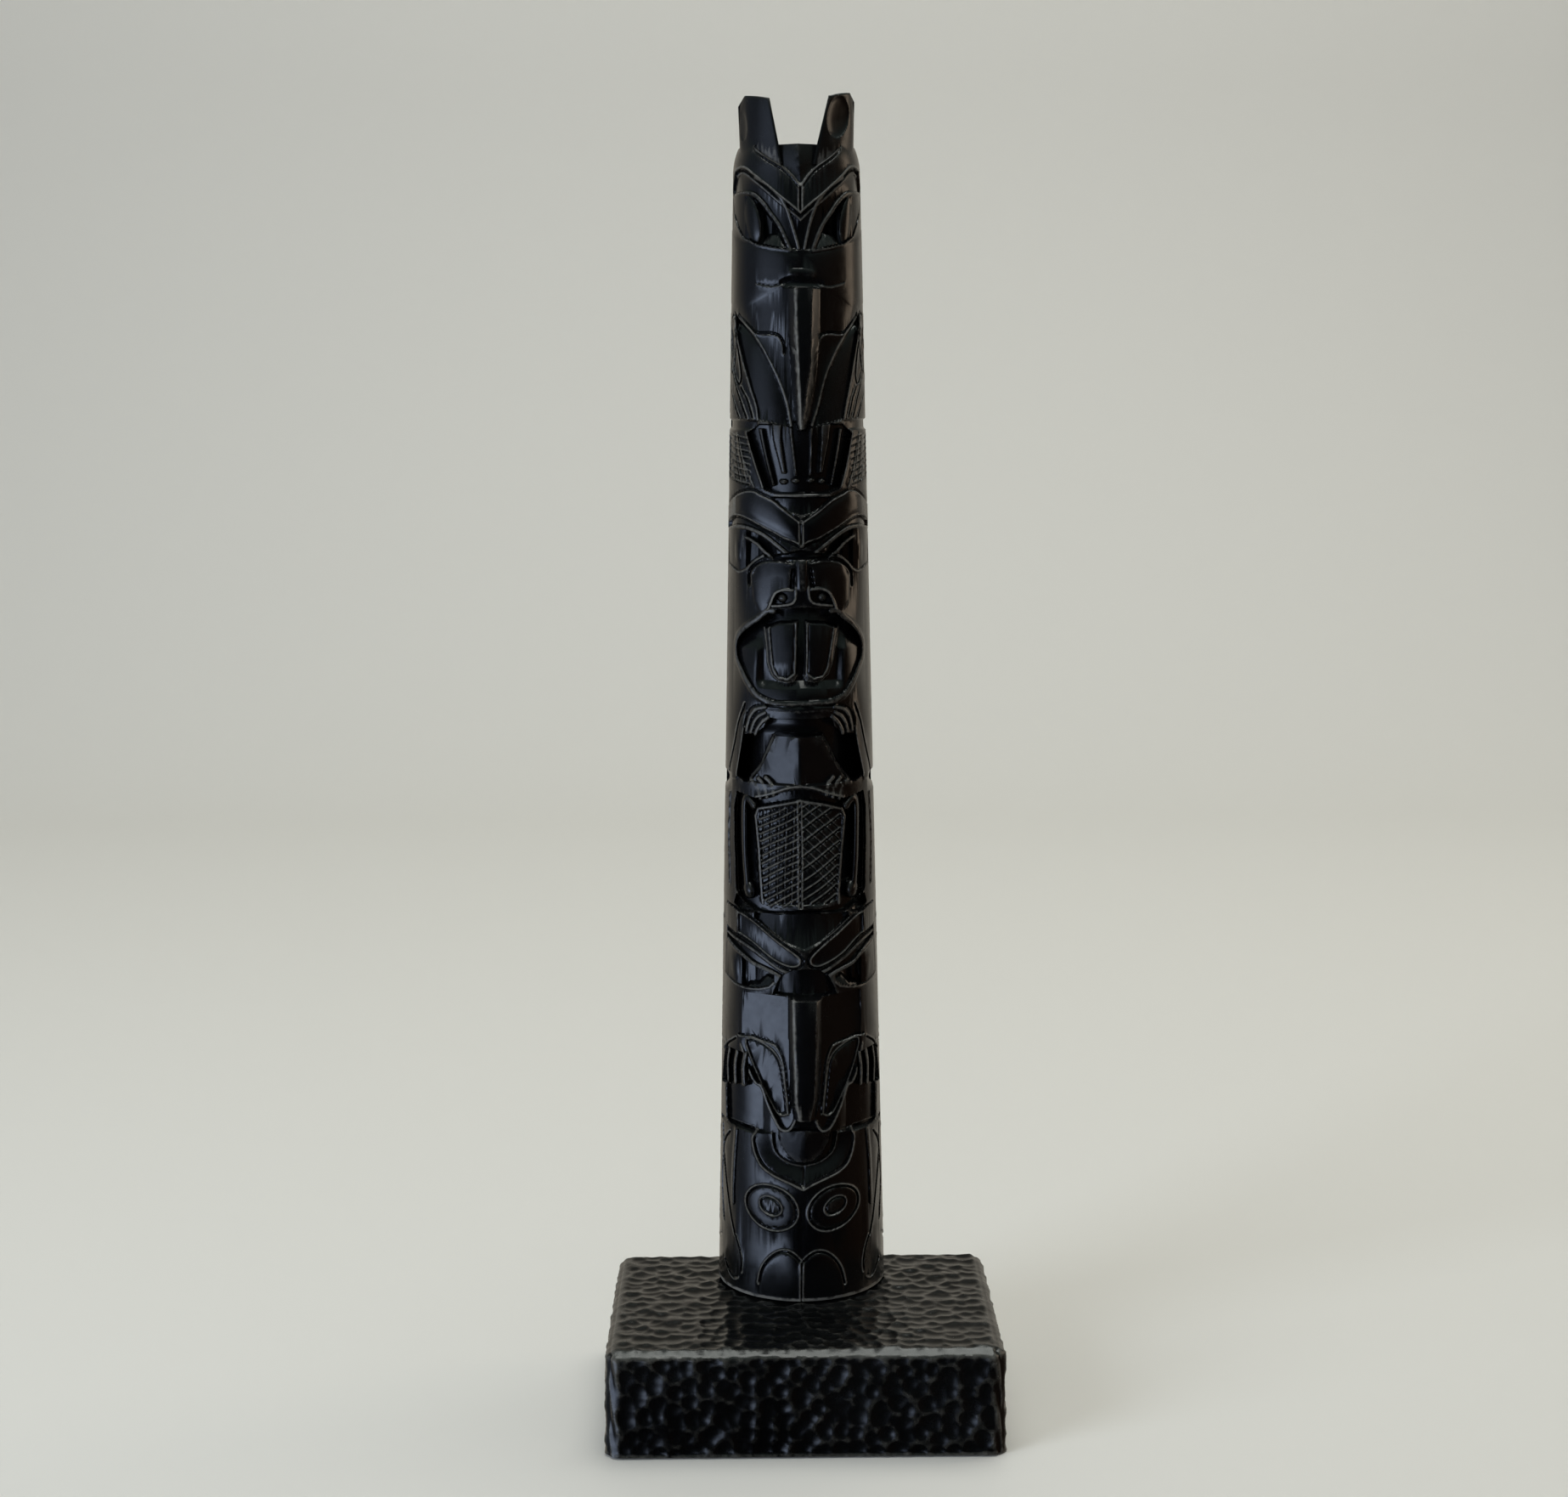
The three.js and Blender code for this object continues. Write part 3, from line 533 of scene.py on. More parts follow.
def carveTopBird(r):
    t = topBird
    upper, lower = curve(t["upperV"]), curve(t["lowerV"])
    brow, ridge = curve(t["brow"]), curve(t["ridge"])
    r.sink([*upper, (13.8, 389), (0, 389)], facet(0, -1.0, 13, -2.2), 0.6)
    r.groove(shifted(upper, 0, -0.9), 0.5, 0.6, 1, 0.35)
    r.sink([*shifted(lower, 0, -0.9), (19.4, 373.4), *brow[::-1], (0, 354.6)], -0.9, 0.5)
    r.groove(shifted(lower, 0, -1.0), 0.45, 0.35, 1, 0.3)
    r.bead(shifted(lower, 0, -2.2), 0.5, 0.35, None, 0.6)
    r.bead(ridge, 0.7, 0.8, -0.9, 0.7)
    r.sink([*shifted(brow, 0.4, -0.6), *t["lid"]], byAside(t["eyeDepth"]), 0.5)
    r.bead(brow, 0.8, 0.85, -0.85, 0.5)
    r.raiseTo(t["eyeFloor"], lambda x, z: -0.3 - 0.55 * (z - 355), 0.6)
    r.dome((14.7, 364.5), (3.7, 7.9), 17, -1.3, -0.1)
    r.bead(t["lid"], 0.5, 0.25, -0.1, 0.4)
    r.groove([(0, 366.6), (0, 373.4)], 0.4, 0.5, -1, 0.15)

    # Cheeks swell a little above the bill, and the nose ends in a small roll over a dark gap.
    r.pillow(t["cheek"], 0.3, 6)
    r.bead([(0, 347.8), (2.6, 347.6)], 1.7, 0.4, None, 0.0)
    r.sink(t["noseGap"], -0.6, 2.4)
    r.groove([(5.6, 344.8), (9, 344.4), (13, 345.4)], 0.35, 0.2, -1, 0.08, 0.5)

    # The lower beak stands as a pointed shield over the sunk chest, between the wings.
    jawX, jawZ = zip(*t["jaw"])
    wingX, wingZ = zip(*t["wing"])

    def chest(x, z):
        inner, outer = np.interp(z, jawZ, jawX), np.interp(z, wingZ, wingX)
        return -2.7 + 2.0 * np.clip((x - inner) / np.maximum(outer - inner, 0.8), 0, 1)

    r.sink([*t["jaw"][::-1], *t["wing"]], chest, 0.5)
    r.bead(shifted(curve(t["jaw"]), -0.4, 0.3), 0.5, 0.25, -0.05, 0.8)
    r.bead(shifted(curve(t["wing"]), 0.3, 0), 0.5, 0.25, -0.1, 0.8)
    r.groove(curve(t["mouth"]), 0.5, 0.6, -1, 0.15, 0.5)
    r.bill(t["bill"])
    r.groove(curve(t["firstFeather"]), 0.4, 0.5, -1)
    for feather in t["feathers"]:
        r.groove(feather, 0.4, 0.5)
    r.groove(curve(t["flankLoop"]), 0.5, 0.5, -1, mapped=turned)
    r.scoop((75, 328), (3.0, 4.4), 10, 0.5, turned)
    for line in t["flank"]:
        r.groove(curve(line), 0.6, 0.6, mapped=turned)
    r.sink([(38, 304.4), (128, 305), (128, 302), (38, 301.6)], -0.8, 0.9, turned)


tailFan = {
    "recess": [(-1, 282.8), (8, 282.6), (11.4, 283.8), (13.7, 291), (15, 296), (16, 300.4),
               (12.6, 303.4), (-1, 304)],
    # Feather by feather: its middle line and the half-widths at its top and foot.
    "feathers": [
        ([(8.8, 284.8), (9.7, 289), (11.1, 296), (12.1, 302.2)], 0.45, 0.6),
        ([(5.6, 288.6), (6.4, 294), (7.2, 299), (7.3, 303.6)], 0.7, 1.5),
        ([(2.1, 288), (2.7, 295), (3.2, 302.4)], 0.5, 0.6),
    ],
    "blobs": [(5.8, 286.2), (2.3, 286.6)],
}


def carveFan(r):
    r.sink(tailFan["recess"], [(281, -3.6), (290, -3.0), (304, -1.5)], 0.5)
    for middle, foot, top in tailFan["feathers"]:
        low, high = middle[0][1], middle[-1][1]
        half = [foot + (top - foot) * (z - low) / (high - low) for x, z in middle]
        outline = [(x + w, z) for (x, z), w in zip(middle, half)]
        outline += [(x - w, z) for (x, z), w in zip(middle[::-1], half[::-1])]
        r.mound(outline, [(284, -2.8), (304, -1.6)], 1.7, 0.6)
    for blob in tailFan["blobs"]:
        r.dome(blob, (1.4, 0.9), 0, -3.0, -1.3)
    r.bead([(16.2, 300.8), (15.2, 296), (13.9, 291), (12, 284.4)], 0.45, 0.3, None, 0.9)
    r.bead([(18.6, 300.4), (17.6, 295), (16.1, 289), (14.4, 284.4)], 0.45, 0.25, None, 0.7)
    r.sink([(16.6, 287), (21.4, 286.6), (21.4, 300), (19.2, 299.8)], -0.5, 0.4)
    for k in range(8):
        z = 286.4 + 1.9 * k
        r.groove([(15.6, z - 1.2), (21.4, z + 1.6)], 0.3, 0.45, 1, 0.12, 0.7)
    for k in range(4):
        x = 16.6 + 1.4 * k
        r.groove([(x, 286.6), (x + 1.7, 299.6)], 0.3, 0.4, 1, 0.12, 0.6)
    r.bead([(-1, 282.2), (8.4, 282.0)], 0.6, 0.5, -0.5, 0.9)


beaverHead = {
    "browTop": [(0.2, 274), (3, 276), (6, 278.2), (8.6, 280.2), (12.2, 282), (14.6, 283.3), (17.3, 283),
                (19.8, 281), (21.6, 278)],
    "browFoot": [(0.2, 266.8), (2.6, 268.2), (5.5, 269.3), (8.2, 270.9), (12, 272.9), (15.9, 275),
                 (18.4, 275.8), (20.4, 275.2), (22, 273)],
    "ridge": [(4.4, 264.8), (7.6, 267.5), (11.2, 270.2), (14.6, 271.8), (18, 272.4), (21.4, 271.4)],
    "underRidge": [(8.6, 263.6), (10.8, 265), (13.2, 267.4), (15.6, 268.8), (19.6, 270.4)],
    "lid": [(21.4, 260.6), (18.6, 258.6), (16.4, 259.4), (15, 261), (13.4, 262.6), (11.4, 264)],
    "eyeDepth": [(7, -1.2), (10, -3.4), (13, -4.2), (15, -3.0), (16.4, -1.0), (18, -0.35), (22, -0.15)],
    "muzzle": [(-1, 262.6), (8.8, 262.8), (12.5, 261.6), (15, 257), (14.6, 250), (12.4, 246.2),
               (10, 247.6), (-1, 248)],
    "arch": [(3, 262.4), (6.5, 263.1), (11, 262.9), (13.6, 261.4), (15.4, 258.8), (15.6, 255)],
    "nostril": [(10.6, 247.2), (9.6, 250), (8.8, 252), (7.6, 253.3), (5.5, 254), (2.8, 253.9)],
    "nostrilFoot": [(1.9, 254.6), (2.1, 251.4), (3.1, 249.9), (5.5, 249.2), (9.2, 248.7)],
    "lip": [(9, 247.4), (10.9, 247.2), (13.2, 245.2), (16, 243.2), (18.2, 240.6), (19.4, 237.8),
            (19.7, 235.2), (19.4, 232), (18.2, 229), (16.4, 225.4), (14, 222), (12, 220.6), (10, 219.8),
            (7, 219.3), (0, 219.2)],
    "deepMouth": [(219, -0.9), (223.6, -1.2), (226, -3.0), (236, -2.6), (243, -4.4), (249, -5.6)],
    "mouthCorner": [(219, -0.5), (224, -0.6), (235.4, -0.8), (239, -2.8), (244, -4.2)],
    "tooth": [(1.0, 244.4), (7, 243.8), (11.2, 242), (10.3, 236), (9.9, 231.6), (8.6, 228), (6.6, 226.2),
              (4, 225.6), (2, 226), (1.1, 227.6)],
    "toothInner": [(2.2, 243.2), (2.2, 228.6), (4.2, 227.2), (6.6, 227.8), (8.0, 230.4), (9.4, 241.6)],
}


# The mouth's floor: deep behind the teeth, going over to shallow at the corners.
def mouthLevel(x, z):
    deep, shallow = byHeight(beaverHead["deepMouth"], z), byHeight(beaverHead["mouthCorner"], z)
    return deep + (shallow - deep) * smoothStep((x - 10.5) / 3.5)


def carveBeaverHead(r):
    t = beaverHead
    top, foot, ridge = curve(t["browTop"]), curve(t["browFoot"]), curve(t["ridge"])
    r.sink([(-1, 275.6), (3, 276.8), (6.2, 279), (9.2, 281.4), (-1, 281.6)], -0.8, 0.6)
    r.mound([*top, *foot[::-1]], -0.15, 0.85, 3.4)
    r.groove(shifted(top, 0, 0.5), 0.45, 0.5, -1, 0.25, 0.8)
    r.sink([*shifted(foot, 0, -0.3), (21.6, 271.2), *ridge[::-1], (0, 263.6)], -0.9, 0.5)
    r.groove(shifted(foot, 0, -0.5), 0.45, 0.45, 1, 0.3, 0.8)
    r.sink([*shifted(ridge, 0.2, -0.6), *t["lid"]], byAside(t["eyeDepth"]), 0.5)
    r.bead(ridge, 0.8, 0.9, -0.8, 0.6)
    r.bead(t["underRidge"], 0.65, 0.9, -1.6, 0.5)
    r.dome((18.9, 264.8), (2.9, 6.2), 6, -1.3, -0.05)
    r.bead(curve(t["lid"]), 0.5, 0.25, -0.1, 0.6)
    r.groove([(0, 267), (0, 274)], 0.4, 0.5, -1, 0.15)
    r.sink([(-1, 263), (8, 263.4), (9, 264.2), (4, 264.7), (-1, 265.6)], -2.2, 0.8)

    # Muzzle: a domed form with a nose bridge, flared nostrils, the open mouth and two broad teeth.
    r.pillow(t["muzzle"], 0.7, 5)
    r.groove(curve(t["arch"]), 0.7, 0.8, -1, 0.1, 0.3)
    r.sink([(2, 260), (2.6, 253.6), (3.6, 254.6), (3.0, 260)], -0.9, 0.7)
    r.bead([(0, 262.4), (0, 254.6)], 1.5, 0.7, None, 0.3)
    nostril, nostrilFoot = curve(t["nostril"]), curve(t["nostrilFoot"])
    r.sink([*nostril, *nostrilFoot], -1.5, 0.4)
    r.dome((6.2, 251.4), (1.6, 1.5), 0, -1.5, 0.4)
    r.bead(nostril, 0.55, 0.5, 0.5, 1.0)
    r.bead(nostrilFoot, 0.5, 0.4, 0.35, 1.0)
    lip = curve(t["lip"], 3)
    r.sink([(-1, 248.6), *lip, (-1, 219)], mouthLevel, 0.5)
    r.bead(lip, 1.1, 0.6, -0.1, 0.5)
    r.mound(t["tooth"], [(224, -1.7), (232, -1.9), (246, -3.2)], 1.5, 1.1)
    r.groove(t["toothInner"], 0.3, 0.3, -1, 0.12, 0.8)
    r.bead(t["tooth"][2:], 0.4, 0.25, None, 1.0)


beaverBody = {
    "hollow": [(-1, 214.4), (9.6, 214.4), (10.6, 211.6), (13.2, 209.6), (17.2, 209), (19.4, 196.2),
               (17, 194.7), (14.6, 195.2), (-1, 194.4)],
    "torso": [(-1, 209.4), (7, 209.4), (8.4, 206.6), (10.4, 202.4), (12.4, 198.6), (15, 194.9),
              (13.4, 190.8), (8, 192.4), (4, 193.6), (-1, 194)],
    "torsoEdge": [(15.2, 195), (12.4, 198.8), (10.4, 202.6), (8.4, 206.8), (7.2, 209)],
    "arm": [(16.4, 216.6), (18.4, 214.8), (21.4, 199), (21.8, 195), (19.6, 194.6), (17.4, 209.6)],
    "fingers": [
        [(10.6, 218), (13.6, 217), (15.4, 214.6), (16.4, 210.6)],
        [(10.8, 216.2), (12.8, 214.9), (14.2, 212.8), (14.9, 210.3)],
        [(9.8, 214.9), (11.6, 213.2), (13.0, 211), (13.4, 209.8)],
    ],
    "notch": [(66, 196.4), (128, 197.4), (128, 190.6), (66, 190.2)],
    "lap": [(-1, 193), (6, 192), (13.6, 189.6), (19.4, 190.8), (20.2, 186), (19.9, 161), (18.6, 157.8),
            (14.3, 155), (-1, 154.8)],
    "panel": [(-1, 190), (7.5, 188.7), (13.2, 187), (14.3, 184.4), (13.2, 174), (12.2, 157.4),
              (5, 155.8), (-1, 155.8)],
    "frame": [(-1, 189.6), (7.3, 188.2), (12.8, 186.6), (13.7, 184.2), (12.7, 174), (11.7, 157.6)],
    "scales": [(-1, 188.8), (7, 187.5), (12.2, 185.8), (12.8, 183), (12.1, 172), (11.1, 158.6),
               (5, 157.2), (-1, 157.2)],
    "claws": [
        [(8.2, 191.4), (8.6, 194.4), (10.4, 196.4)],
        [(10.2, 190.6), (10.8, 193.8), (12.6, 196)],
        [(12.2, 190.0), (13.0, 193), (14.6, 195)],
    ],
}


def carveBeaverBody(r):
    t = beaverBody
    r.bead([(-1, 216.9), (9.8, 216.9)], 0.9, 0.4, -0.35, 0.3)
    r.groove([(-1, 218.5), (10.4, 218.6)], 0.5, 0.8, 1, 0.1, 0.3)
    r.sink(t["hollow"], lambda x, z: -6.0 + 1.2 * smoothStep((z - 209) / 4), 0.7)
    r.raiseTo(t["torso"], facet(0, -0.7, 13, -1.2), 0.7)
    r.groove([(0, 194.4), (0, 209)], 0.25, 0.12, 1, 0.08, 0.6)
    r.bead(curve(t["torsoEdge"]), 0.4, 0.2, None, 0.8)
    r.raiseTo(t["arm"], 0.35, 0.9)
    for finger in t["fingers"]:
        r.bead(curve(finger), 0.75, 0.65, -0.25, 0.7)
        r.groove(shifted(curve(finger), 0.75, 0.75), 0.35, 0.4, 1, 0.0, 0)
    r.groove(curve([(16.8, 218.4), (18.6, 213), (20, 206), (21.4, 199), (21.8, 196)]), 0.45, 0.6)
    r.groove(curve([(16.9, 211), (17.8, 205), (19.4, 196.4)]), 0.4, 0.4)
    r.sink(t["notch"], lambda x, z: -1.4 * (1 - ((z - 193.6) / 3.4) ** 2), 0.6, turned)

    # Hind legs either side of the flat scaled tail.
    r.bead(curve([(13.4, 190.4), (8, 192.2), (4, 193.5), (-1, 194)]), 0.5, 0.3, None, 0.9)
    r.sink(t["lap"], [(154, -2.8), (190, -3.2)], 0.6)
    r.raiseTo(t["panel"], -0.6, 0.5)
    r.bead(t["frame"], 0.55, 0.35, -0.65, 0.8)
    r.sink(t["scales"], -0.95, 0.3)
    hatch(r)
    r.groove([(0, 189), (0, 156.6)], 0.4, 0.5, 1, 0.2)
    leg = curve([(14.4, 187.4), (16.2, 189.2), (17.4, 187), (17.4, 174), (16.7, 164), (16.3, 161)])
    r.bead(leg, 1.9, 2.9, -2.9, 0.0)
    r.dome((16.2, 161.2), (2.9, 3.4), 8, -2.6, 0.2)
    r.groove([(19.6, 189), (20.2, 176), (19.6, 160)], 0.4, 0.5, -1, 0.25, 0.8)
    r.groove([(21.6, 190), (22.2, 176), (22, 162)], 0.4, 0.4, -1, 0.2, 0.8)
    for claw in t["claws"]:
        r.bead(curve(claw), 0.8, 0.8, -1.2, 0.7)
    r.sink([(14.3, 154.7), (16.2, 155.9), (19.7, 158.9), (20.4, 156.2), (18, 153.8)], -1.6, 0.7)


# Scales on the tail: a set of deep slanting cuts crossed by lighter ones, closer on the left half.
def hatch(r):
    reach = 12.6
    if r.side < 0:
        starts = [162.6 + 2.3 * k for k in range(-4, 19)]
        deep = [[(0.4, z), (reach, z - 0.52 * reach)] for z in starts]
        light = [[(3.1 + 2.3 * k, 157.6), (2.0 + 2.3 * k, 187)] for k in range(5)]
    else:
        starts = (149.6, 152.6, 155.4, 158, 160.8, 164, 168, 172, 176.3, 180.2, 183.5, 186.5)
        deep = [[(0.4, z), (reach, z + 0.68 * reach)] for z in starts]
        light = [[(0.4, 172 + 3.2 * k), (reach, 172 + 3.2 * k - 0.95 * reach)] for k in range(7)]
    for cut in deep:
        r.groove(clipToScales(cut), 0.34, 0.5, r.side, 0.25, 0.9)
    for cut in light:
        r.groove(clipToScales(cut), 0.28, 0.3, 1, 0.1, 0.4)


# The part of a straight cut that lies on the scaled panel.
def clipToScales(ends):
    (x0, z0), (x1, z1) = ends
    t = np.linspace(0, 1, 60)
    x, z = x0 + t * (x1 - x0), z0 + t * (z1 - z0)
    limit = np.interp(z, [157.4, 172, 183, 186, 188.2], [10.9, 11.9, 12.5, 12.0, 3.0], left=0, right=0)
    kept = np.flatnonzero((x < limit) & (z > 157.6) & (z < 188.4))
    if len(kept) < 2:
        return [(0.3, 170.0), (0.31, 170.0)]
    first, last = kept[0], kept[-1]
    return [(x[first], z[first]), (x[last], z[last])]


thirdBird = {
    "forehead": [(-1, 143.2), (5, 145.6), (9, 148.6), (13, 151.7), (14.6, 153), (14.3, 154.4), (-1, 154.8)],
    "lobe": [(22.6, 155.4), (17, 153.4), (13, 150.9), (9, 147.8), (5, 144.8), (1.8, 142.2), (0.9, 140.3),
             (1.9, 138.4), (4.5, 137.9), (8.5, 139.2), (12, 141.4), (15.6, 144.4), (18.6, 146.3),
             (22.8, 148.6)],
    "underLobe": [(0.5, 137.6), (4.6, 137.2), (8.6, 138.5), (12, 140.7), (15.6, 143.7), (18.6, 145.6),
                  (22.8, 147.8)],
    "ridge": [(5.2, 136.4), (7.8, 137.4), (11, 139.4), (14.8, 142), (18.6, 144.4), (22.8, 146)],
    "lowRidge": [(3.4, 132.6), (6.4, 134.4), (9.4, 136), (12.4, 137.2), (15.8, 138.6), (19, 141.2),
                 (22.8, 144)],
    "lid": [(23.6, 132.6), (20.4, 130.6), (17.6, 130.4), (14, 130.8), (11, 131.6), (9.6, 133)],
    "eyeDepth": [(9, -2.0), (11, -3.6), (15, -4.2), (17.4, -3.0), (18.6, -0.8), (20, -0.3), (23, -0.1)],
    "eyeFloor": [(9.8, 131.2), (17.6, 130.2), (16.4, 131.8), (13.6, 132.4), (11.4, 134.8), (9.6, 134)],
    "noseGap": [(-1, 137.6), (4, 137.2), (7.4, 135), (8.6, 132.6), (9.8, 129.4), (-1, 128.8)],
    "bill": [(88, 0.5, 2.0, 0.3, -0.2), (91, 1.6, 3.4, 1.8, -0.2), (97, 2.8, 4.6, 2.6, 0),
             (112, 3.3, 5.0, 2.8, 0), (128.6, 3.6, 5.2, 2.4, 0)],
    "leafOuter": [(4.9, 92.6), (5.0, 96), (5.6, 101), (6.0, 106), (6.8, 110), (8.2, 113), (10, 114),
                  (13, 114.6), (16.4, 115.4), (19.4, 115.2)],
    "leaf": [(6.0, 92.4), (6.2, 95), (6.7, 99), (7.2, 103), (7.9, 107.5), (9.2, 110.2), (11.2, 112),
             (14, 113.4), (17.2, 113.7), (16.4, 110), (14.6, 105), (12, 99), (9, 93.5), (7.4, 91.9),
             (6.0, 92.4)],
    "face": [(19, 112.2), (17, 105), (15.2, 101.2), (13.5, 100.2), (12, 96), (10, 91.5), (8, 88),
             (6.6, 87.1), (5.5, 87), (4.3, 88), (3.3, 90.2)],
    "recessSide": [(19, 112.2), (17.6, 109), (17.4, 99.8), (21.5, 98.2), (23.4, 97.8), (23.2, 86),
                   (12, 85.4), (-1, 84.8)],
    "recessDepth": [(0, -2.6), (8, -2.4), (10.5, -2.2), (13, -3.4), (23, -1.0)],
    "claws": [(17.2, 109.6), (23.6, 110), (24.9, 97.2), (21.5, 98), (17.4, 99.6), (16.8, 101)],
    "wing": [
        [(80, 150), (92, 148), (108, 138), (112, 122), (100, 112)],
        [(86, 143), (96, 140), (102, 130), (100, 119), (90, 114)],
    ],
}


def carveThirdBird(r):
    t = thirdBird
    r.sink(t["forehead"], [(142, -0.3), (154.8, -2.2)], 0.8)
    lobe = curve(t["lobe"], 3)
    r.raiseTo(lobe, facet(2, 0.1, 19, 0.35), 0.5)
    r.groove(lobe, 0.5, 0.7, 1, 0.3, 0.9)
    ridge, low = curve(t["ridge"]), curve(t["lowRidge"])
    r.sink([*t["underLobe"], *low[::-1], (0, 131)], -1.2, 0.5)
    r.sink([*shifted(low, 0.2, -0.7)[8:], *t["lid"]], byAside(t["eyeDepth"]), 0.5)
    r.bead(ridge, 0.75, 0.85, -1.0, 0.6)
    r.bead(low, 0.75, 0.95, -1.0, 0.6)
    r.dome((21, 135.6), (3.6, 6.4), 8, -1.2, -0.05)
    r.sink(t["noseGap"], -3.4, 0.8)
    r.raiseTo(t["eyeFloor"], lambda x, z: -0.5 - 0.4 * (z - 131), 0.4)
    r.bead(t["lid"], 0.45, 0.25, -0.1, 0.7)

    # Broad bill with a flat ridge that hooks down, between leaf-shaped nostril lines.
    face = curve(t["face"], 3)
    flat = facet(3.6, -0.2, 18.4, -0.1)
    r.sink([(3.6, 128.8), (9.6, 129.2), (18, 129.4), (18.8, 116), *face], flat, 0.5)
    r.bill(t["bill"], 1.2, 1.6)
    r.groove(curve(t["leafOuter"]), 0.4, 0.5, -1, 0.15, 0.7)
    leaf = curve(t["leaf"], 3)
    r.sink(leaf, facet(5, -0.9, 17, -0.5), 0.5)
    r.groove(leaf, 0.35, 0.35, 1, 0.3, 0.9)
    under = [(-1, 90.4), (3, 90.2), *face[::-1], *t["recessSide"]]
    r.sink(under, byAside(t["recessDepth"]), 0.5)
    r.bead(face, 0.55, 0.35, -0.1, 0.9)
    r.bead([(23.8, 97), (23.6, 86)], 0.7, 0.4, -0.2, 0.6)

    # Claws at the sides on a level of their own, over the square recess.
    r.sink(t["claws"], -1.9, 0.4)
    r.raiseTo(t["claws"], -1.5, 0.4)
    for k in range(3):
        x = 18.3 + 2.35 * k
        r.bead(curve([(x - 0.5, 109.2), (x + 0.1, 105), (x, 99.9 - 0.5 * k)]), 1.2, 1.5, -1.5, 0.7)

    # Folded wing along each flank.
    for line in t["wing"]:
        r.groove(curve(line), 0.6, 0.6, mapped=turned)
    r.groove([(20.4, 113.6), (22.4, 111.6), (24, 108.6)], 0.45, 0.6, 1)
    r.groove(curve([(72, 110.6), (96, 110), (128, 112)]), 0.7, 0.8, mapped=turned)


bottomFigure = {
    "bowl": [(0, 69.2), (3, 70.7), (6, 71.9), (9.5, 73.3), (12.3, 75), (13.9, 77.1), (15, 80),
             (15.5, 83.4), (14.6, 85.2)],
    "bowlDepth": [(9, -3.6), (12, -2.4), (15.4, -0.9)],  # by distance from the middle of its top
    "crescent": [(0, 75.6), (4, 76.4), (7.4, 78.4), (9.2, 81), (9.8, 85.4)],
    "block": [(-1, 76.4), (2.4, 76.6), (5.6, 79.4), (7.6, 83), (8.0, 86.6), (-1, 87)],
    "eye": (9.7, 62.3),
    "foot": [(13.3, 37.8), (12.4, 42), (11, 45), (9, 47.3), (6.6, 48.6), (4.2, 48.6), (2, 47.2),
             (0, 45)],
    "flank": [
        [(62, 83), (72, 78), (76, 66), (70, 54)],
        [(84, 82), (98, 76), (100, 62), (88, 52)],
    ],
    "glue": (0.9, 0.25, 3.0),  # its height, how proud it is, and its mark
}


def carveBottomFigure(r):
    t = bottomFigure
    bowl, crescent = curve(t["bowl"]), curve(t["crescent"])
    depth = byAside(t["bowlDepth"])
    r.sink([*bowl, (-1, 85.4)], lambda x, z: depth(np.hypot(x, (z - 86) * 0.95), z), 0.5)
    r.groove(bowl, 0.4, 0.4, -1, 0.3, 1.0)
    r.sink([*crescent, (-1, 85.4)], [(75, -3.0), (86, -4.8)], 0.6)
    r.raiseTo(t["block"], facet(0, [(75, -1.4), (87, -0.9)], 8, -1.2), 0.6)
    r.groove(crescent, 0.3, 0.3, -1, 0.15, 0.5)
    r.groove([(0, 69.8), (0, 76.2)], 0.35, 0.4, 1)
    r.groove([(15.8, 85.6), (20, 85.8), (25, 86)], 0.7, 0.9, 1, 0.1, 0.4)

    # Large oval eyes with a double outline.
    r.pillow(ovalPath(t["eye"], (7.8, 6.2), -22), 0.3, 3.5)
    r.groove(ovalPath(t["eye"], (7.9, 6.3), -22), 0.45, 0.55, -1, 0.3, 1.0)
    r.groove(ovalPath((10.1, 62.9), (3.2, 2.2), -28), 0.4, 0.45, -1, 0.25, 0.9)
    foot = curve(t["foot"])
    r.pillow([*foot, (0, poleFoot), (13.6, poleFoot)], 0.3, 3)
    r.groove(foot, 0.45, 0.55, -1, 0.3, 1.0)
    r.groove([(0, 45), (0, poleFoot)], 0.35, 0.45, 1, 0.25)

    # Fins along the flanks.
    r.bead(curve([(20.6, 84.4), (21.4, 74), (21.8, 61)]), 1.0, 0.5, None, 0.3)
    r.groove(curve([(20.9, 50.4), (19.7, 46.5), (19.1, 43), (19.2, 39.8)]), 0.4, 0.5, -1, 0.25, 1.0)
    r.groove(curve([(20.4, 37.7), (21.6, 37), (23, 38.2), (24.3, 41)]), 0.4, 0.5, -1, 0.2, 0.8)
    r.groove(curve([(24.6, 84), (24.2, 72), (22.6, 58), (21.2, 50.6)]), 0.4, 0.5, 1, 0.2, 0.6)
    for line in t["flank"]:
        r.groove(curve(line), 0.5, 0.5, mapped=turned)
    r.groove(curve([(76, 48), (98, 43.5), (128, 46)]), 0.7, 0.7, mapped=turned)

    # A thin pale bead of glue where the foot meets the plinth.
    high, proud, mark = t["glue"]
    share = np.clip(1 - (r.height - poleFoot) / high, 0, 1)
    uneven = np.clip(0.75 + 0.5 * np.sin(0.9 * r.signed) * np.sin(0.37 * r.signed + 1), 0.15, 1)
    r.h += proud * np.sqrt(share)
    r.mark = np.maximum(r.mark, mark * np.sqrt(share) * uneven)


def carved(side):
    relief = Relief(side)
    figures = (carveFan, carveTopBird, carveBeaverHead, carveBeaverBody, carveThirdBird, carveBottomFigure)
    for carve in figures:
        carve(relief)
    turns, most = zip(*poleSpec["proud"])
    relief.h = np.minimum(relief.h, np.interp(relief.turn, turns, most)[None, :])
    return relief


